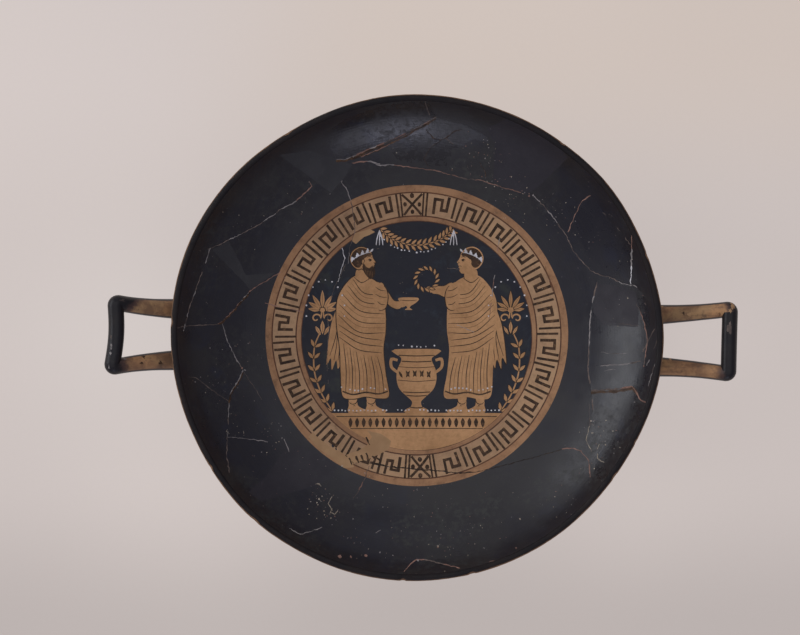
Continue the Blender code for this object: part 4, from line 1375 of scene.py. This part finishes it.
add_run(arc((r0, STEM_TOP), (r0 - STEM_RADIUS, z0 - STEM_TOP), 90, 180, 20), "gloss")
add_run([(STEM_RADIUS, STEM_TOP + (STEM_FOOT - STEM_TOP) * k / 8) for k in range(1, 9)], "gloss")
flare_r, drop_z = FOOT_SHOULDER_RADIUS - STEM_RADIUS, STEM_FOOT - FOOT_SHOULDER_Z
foot_top = arc((FOOT_SHOULDER_RADIUS, STEM_FOOT), (flare_r, drop_z), 180, 264, 44)
add_run(foot_top[:38], "gloss")
add_run(foot_top[38:40], "clay_border")
add_run(foot_top[40:], "gloss")
edge = arc((FOOT_SHOULDER_RADIUS + 0.0012, FOOT_EDGE_Z),
           (FOOT_RADIUS - FOOT_SHOULDER_RADIUS - 0.0012, FOOT_SHOULDER_Z - FOOT_EDGE_Z - 0.0003), 78, 0, 14)
add_run(edge[:7], "gloss")
add_run(edge[7:], "clay_border")
add_run([(REST_OUTER + (FOOT_RADIUS - REST_OUTER) * (1 - t) ** 0.7, FOOT_EDGE_Z * (1 - t)) for t in (0.2, 0.4, 0.6, 0.8, 1.0)],
        "clay_border")
add_run([(REST_OUTER + (REST_INNER - REST_OUTER) * k / 5, 0.0) for k in range(1, 6)], "clay_border")
hollow = [(REST_INNER * (1 - k / 33) + HOLLOW_TIP * k / 33, HOLLOW_HEIGHT * 0.93 * (k / 33) ** 2.1) for k in range(1, 33)]
add_run(hollow[:4], "clay_border")
add_run(hollow[4:17], "gloss")
add_run(hollow[17:22], "clay_border")
add_run(hollow[22:24], "gloss")
add_run(hollow[24:], "clay_border")
add_run([(HOLLOW_TIP, HOLLOW_HEIGHT * 0.93), (0.0015, HOLLOW_HEIGHT * 0.98), (0.00005, HOLLOW_HEIGHT)], "clay_border")
stem_piece = lathe("stem_foot", profile, ["gloss", "clay_border"], bands, 360)


# ------------------------------------------------------------ handles
def handle_path(spec):
    u_back, u_mid, u_front = spec["bar"]

    def height(u):
        t = max(0.0, (u - ROOT_U) / (spec["bar"][1] - ROOT_U))
        return ROOT_Z + (TIP_Z - ROOT_Z) * min(t, 1.05) ** 2

    def leg(u_end, ends, count=96):
        pts = []
        for k in range(count):
            t = k / (count - 1)
            u = ROOT_U + (u_end - CORNER - ROOT_U) * t
            pts.append((u, ends[0] + (ends[1] - ends[0]) * t ** spec["flare"]))
        return pts

    def corner(u_end, y_end, sign):
        cu, cy = u_end - CORNER, y_end - sign * CORNER
        return [(cu + CORNER * math.cos(math.radians(a)), cy + sign * CORNER * math.sin(math.radians(a)))
                for a in (75, 60, 45, 30, 15, 0)]

    back = leg(u_back, spec["back"]) + corner(u_back, spec["back"][1], 1)
    front = leg(u_front, spec["front"]) + corner(u_front, spec["front"][1], -1)
    bar = []
    for k in range(1, 60):
        t = k / 60
        y = back[-1][1] * (1 - t) + front[-1][1] * t
        u = u_back * (1 - t) + u_front * t + (u_mid - (u_back + u_front) / 2) * math.sin(math.pi * t)
        bar.append((u, y))
    flat = back + bar + front[::-1]
    kinds = [1] * len(back) + [0] * len(bar) + [-1] * len(front)
    return [((spec["side"] * u, y, height(u)), float(table(ROD_RADII, u)), kind) for (u, y), kind in zip(flat, kinds)]


def tube(name, path, sides, bare_ends, marks):
    """bare_ends: how far out the clay shows on the back and front legs.

    marks: flaws on the upper side (picture x, y, half sizes in mm, material).
    """
    pts = np.array([p for p, _, _ in path])
    radii = np.array([r for _, r, _ in path])
    tan = np.gradient(pts, axis=0)
    tan /= np.linalg.norm(tan, axis=1)[:, None]
    up = np.array([0.0, 0.0, 1.0])
    a = np.arange(sides) * math.tau / sides
    rings, bare = [], []
    for p, t, r, (_, _, kind) in zip(pts, tan, radii, path):
        side = np.cross(t, up)
        side /= np.linalg.norm(side)
        nrm = np.cross(side, t)
        ring = p + r * (np.cos(a)[:, None] * side + np.sin(a)[:, None] * nrm)
        rings.append(ring)
        top = np.clip((np.sin(a) - 0.40) / 0.32, 0, 1)
        end = bare_ends[0] if kind > 0 else bare_ends[1]
        slant = (ring[:, 1] - p[1]) * (0.9 if kind > 0 else -0.3)
        reach = np.clip((end - abs(ring[:, 0]) - slant) / 0.0085 + 0.5, 0, 1) if kind else np.zeros(sides)
        bare.append(np.minimum(top, reach))
    xyz = np.concatenate(rings)
    # the roots end in the middle of the bowl's wall
    r = np.hypot(xyz[:, 0], xyz[:, 1] / ROUNDNESS)
    middle = np.where(r < R_INNER_END, (inner_z(r) + outer_z(r)) / 2, 1.0)
    xyz[:, 2] = np.minimum(xyz[:, 2], middle)
    tri = []
    for i in range(len(pts) - 1):
        for k in range(sides):
            p, q = i * sides + k, i * sides + (k + 1) % sides
            tri += [(p, q, p + sides), (q, q + sides, p + sides)]
    tri = np.array(tri)
    names = ["handle"] + sorted({m[4] for m in marks})
    centre = xyz[tri].mean(1)
    face_up = np.sin(a)[(tri % sides).min(1)] > 0.15
    mats = np.zeros(len(tri), dtype=int)
    for x, y, half_x, half_y, material in marks:
        depth = TOTAL_HEIGHT - 0.082
        scale = PIXEL * (1 + depth / CAM_DISTANCE)
        mx, my = CAM_X + (x - VIEW_CENTRE[0]) * scale - BOWL_X, CAM_Y - (y - VIEW_CENTRE[1]) * scale
        dx, dy = (centre[:, 0] - mx) * 1000 / half_x, (centre[:, 1] - my) * 1000 / half_y
        ang = np.arctan2(dy, dx)
        edge_of = 1 + 0.22 * np.sin(3 * ang + x) + 0.15 * np.sin(5 * ang + y)
        mats[(np.hypot(dx, dy) < edge_of) & face_up] = names.index(material)
    return make_mesh(name, xyz, tri, names, mats, {"bare": np.concatenate(bare)})


handle_pieces = [
    tube("handle_left", handle_path(LEFT), 56, (0.1418, 0.1462),
         ((111, 367, 0.7, 0.6, "crack_pale"), (113, 337, 0.35, 1.1, "crack"), (113.4, 346, 0.4, 1.5, "crack_pale"),
          (112.6, 353, 0.5, 0.6, "crack_pale"), (124, 300.5, 0.9, 0.5, "crack"), (126, 359, 0.6, 0.4, "crack_pale"),
          (143.5, 357, 0.6, 0.6, "dark"), (142, 363, 0.9, 0.6, "dark"), (160, 363, 0.9, 0.9, "dark"))),
    tube("handle_right", handle_path(RIGHT), 56, (0.1575, 0.1532),
         ((730.5, 306, 0.9, 1.5, "filler_tan"), (728, 311, 0.7, 0.9, "filler_tan"), (689.5, 314.5, 1.0, 0.8, "filler_tan"),
          (684, 313, 0.5, 0.9, "dark"), (695.5, 320, 1.0, 0.5, "crack"), (727, 328, 1.2, 2.6, "crack"),
          (664, 306.5, 0.5, 0.4, "filler_tan"), (672, 359.5, 0.6, 0.5, "filler_tan"), (718, 315, 0.4, 1.2, "golden"))),
]

all_pieces = [floor_piece, wall_piece, rim_piece, outside_piece, stem_piece] + handle_pieces
for piece in all_pieces:
    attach(piece, "root")
    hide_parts("kylix_cup")


# ============================================================ stage and light
def area_light(name, at, target, size, radiance, color=(1, 1, 1)):
    data = bpy.data.lights.new(name, "AREA")
    data.shape = "RECTANGLE"
    data.size, data.size_y = size
    data.energy = radiance * math.pi * size[0] * size[1]
    data.color = color
    obj = bpy.data.objects.new(name, data)
    obj.location = at
    obj.rotation_euler = (Vector(target) - Vector(at)).to_track_quat("-Z", "Y").to_euler()
    bpy.context.scene.collection.objects.link(obj)
    return obj


def floor_material():
    """Pale board that glows, with painted light and shade: a little lighter at the left and dimmer at the front, with
    painted pools of light round the handles and rim and a painted shadow under the cup.
    """
    g = Nodes("paper_floor")
    sep = g.tree.nodes.new("ShaderNodeSeparateXYZ")
    g.put(sep.inputs[0], g.coord)
    scale = PIXEL * (1 + TOTAL_HEIGHT / CAM_DISTANCE)
    px = g.calc("ADD", g.calc("DIVIDE", g.calc("SUBTRACT", sep.outputs[0], CAM_X), scale), VIEW_CENTRE[0])
    py = g.calc("ADD", g.calc("DIVIDE", g.calc("SUBTRACT", CAM_Y, sep.outputs[1]), scale), VIEW_CENTRE[1])

    def glow(x, y, wide, high, size):
        u = g.calc("DIVIDE", g.calc("SUBTRACT", px, x), wide)
        v = g.calc("DIVIDE", g.calc("SUBTRACT", py, y), high)
        far = g.calc("ADD", g.calc("MULTIPLY", u, u), g.calc("MULTIPLY", v, v))
        return g.calc("MULTIPLY", g.calc("EXPONENT", g.calc("MULTIPLY", far, -1.0)), size)

    # painted light: the board's glow, brighter towards the back, with painted pools of light at the left, round the
    # handles and by the rim, and a dimmer top right corner
    light = g.calc("ADD", g.span(g.noise(3.0, 2, 0.5), 0.3, 0.7, 0.50, 0.52), g.span(py, 60, 300, 0.050, 0.0))
    for spot in ((60, 330, 200, 170, 0.10), (150, 335, 95, 85, 0.13), (205, 500, 130, 110, 0.14), (620, 520, 90, 80, 0.085), (700, 340, 60, 55, 0.07), (760, 290, 110, 120, 0.04),
                 (720, 480, 120, 100, 0.02), (770, 40, 200, 180, -0.07)):
        light = g.calc("ADD", light, glow(*spot[:4], 0.30 * spot[4]))
    # painted shade: the glow dims towards the front
    light = g.calc("SUBTRACT", light, g.span(py, 470, 630, 0.0, 0.085))
    # colour of the painted glow: warmer towards the back, paler in the painted pool of light by the left handle
    warm = g.calc("MULTIPLY", g.span(py, 40, 240, 1.0, 0.0), g.span(px, 120, 420))
    tint = g.mix(warm, (1.0, 0.890, 0.850), (1.0, 0.858, 0.772))
    tint = g.mix(glow(150, 335, 110, 95, 0.3), tint, (1.0, 0.940, 0.905))
    g.put(g.shader.inputs["Emission Color"], tint)
    # painted shadow: soft shade painted into the board's glow under the foot and bowl
    ax, ay = g.calc("SUBTRACT", sep.outputs[0], BOWL_X), sep.outputs[1]
    far = g.calc("SQRT", g.calc("ADD", g.calc("MULTIPLY", ax, ax), g.calc("MULTIPLY", ay, ay)))
    light = g.calc("MULTIPLY", light, g.span(far, 0.030, 0.112, 0.42, 1.0))
    g.put(g.shader.inputs["Emission Strength"], light)
    board = g.mix(g.noise(0.9, 2, 0.5), (0.155, 0.140, 0.130), (0.140, 0.128, 0.118))
    board = g.mix(g.span(g.noise(420, 3, 0.6), 0.3, 0.7, 0.0, 0.12), board, (0.10, 0.092, 0.086))
    return g.finish(board, 0.9, g.bump(g.noise(260, 4, 0.6), 0.06, 0.0004), 0.05)


stage_mesh = bpy.data.meshes.new("floor")
stage_mesh.from_pydata([(-4, -4, 0), (4, -4, 0), (4, 4, 0), (-4, 4, 0)], [], [(0, 1, 2, 3)])
stage_mesh.materials.append(floor_material())
stage_floor = bpy.data.objects.new("floor", stage_mesh)
bpy.context.scene.collection.objects.link(stage_floor)

area_light("overhead_front", (0, -0.60, 2.0), (0, 0, 0), (2.6, 1.2), 0.42)
area_light("overhead_back", (0, 0.72, 2.0), (0, 0, 0), (2.6, 1.44), 0.66)
area_light("key_left", (-1.40, 0.50, 0.66), (0, 0, 0.05), (1.7, 0.74), 2.35, (0.95, 0.97, 1.0))
area_light("low_front", (0.05, -1.4, 0.50), (0, 0, 0.08), (1.1, 0.40), 1.05, (0.84, 0.86, 1.0))
area_light("small_front", (0.09, -1.4, 0.58), (0, 0, 0.08), (0.34, 0.12), 5.8, (0.72, 0.75, 1.0))
area_light("low_back", (0.0, 1.45, 0.62), (0, 0, 0.08), (1.2, 0.40), 0.30, (0.84, 0.86, 1.0))
area_light("small_back", (0.0, 1.45, 0.74), (0, 0, 0.08), (0.50, 0.08), 2.6, (0.80, 0.84, 1.0))

world = bpy.data.worlds.new("room")
world.use_nodes = True
world.node_tree.nodes["Background"].inputs[0].default_value = (0.80, 0.78, 0.97, 1)
world.node_tree.nodes["Background"].inputs[1].default_value = 0.26
bpy.context.scene.world = world
bpy.context.scene.view_settings.view_transform = "Standard"

cam_data = bpy.data.cameras.new("camera")
cam_data.sensor_width = 36.0
cam_data.lens = 36.0 * CAM_DISTANCE / (800 * PIXEL)
cam_data.clip_start, cam_data.clip_end = 0.05, 20.0
cam = bpy.data.objects.new("camera", cam_data)
cam.location = (CAM_X, CAM_Y, TOTAL_HEIGHT + CAM_DISTANCE)
cam.rotation_euler = (0.0, 0.0, 0.0)
bpy.context.scene.collection.objects.link(cam)
bpy.context.scene.camera = cam
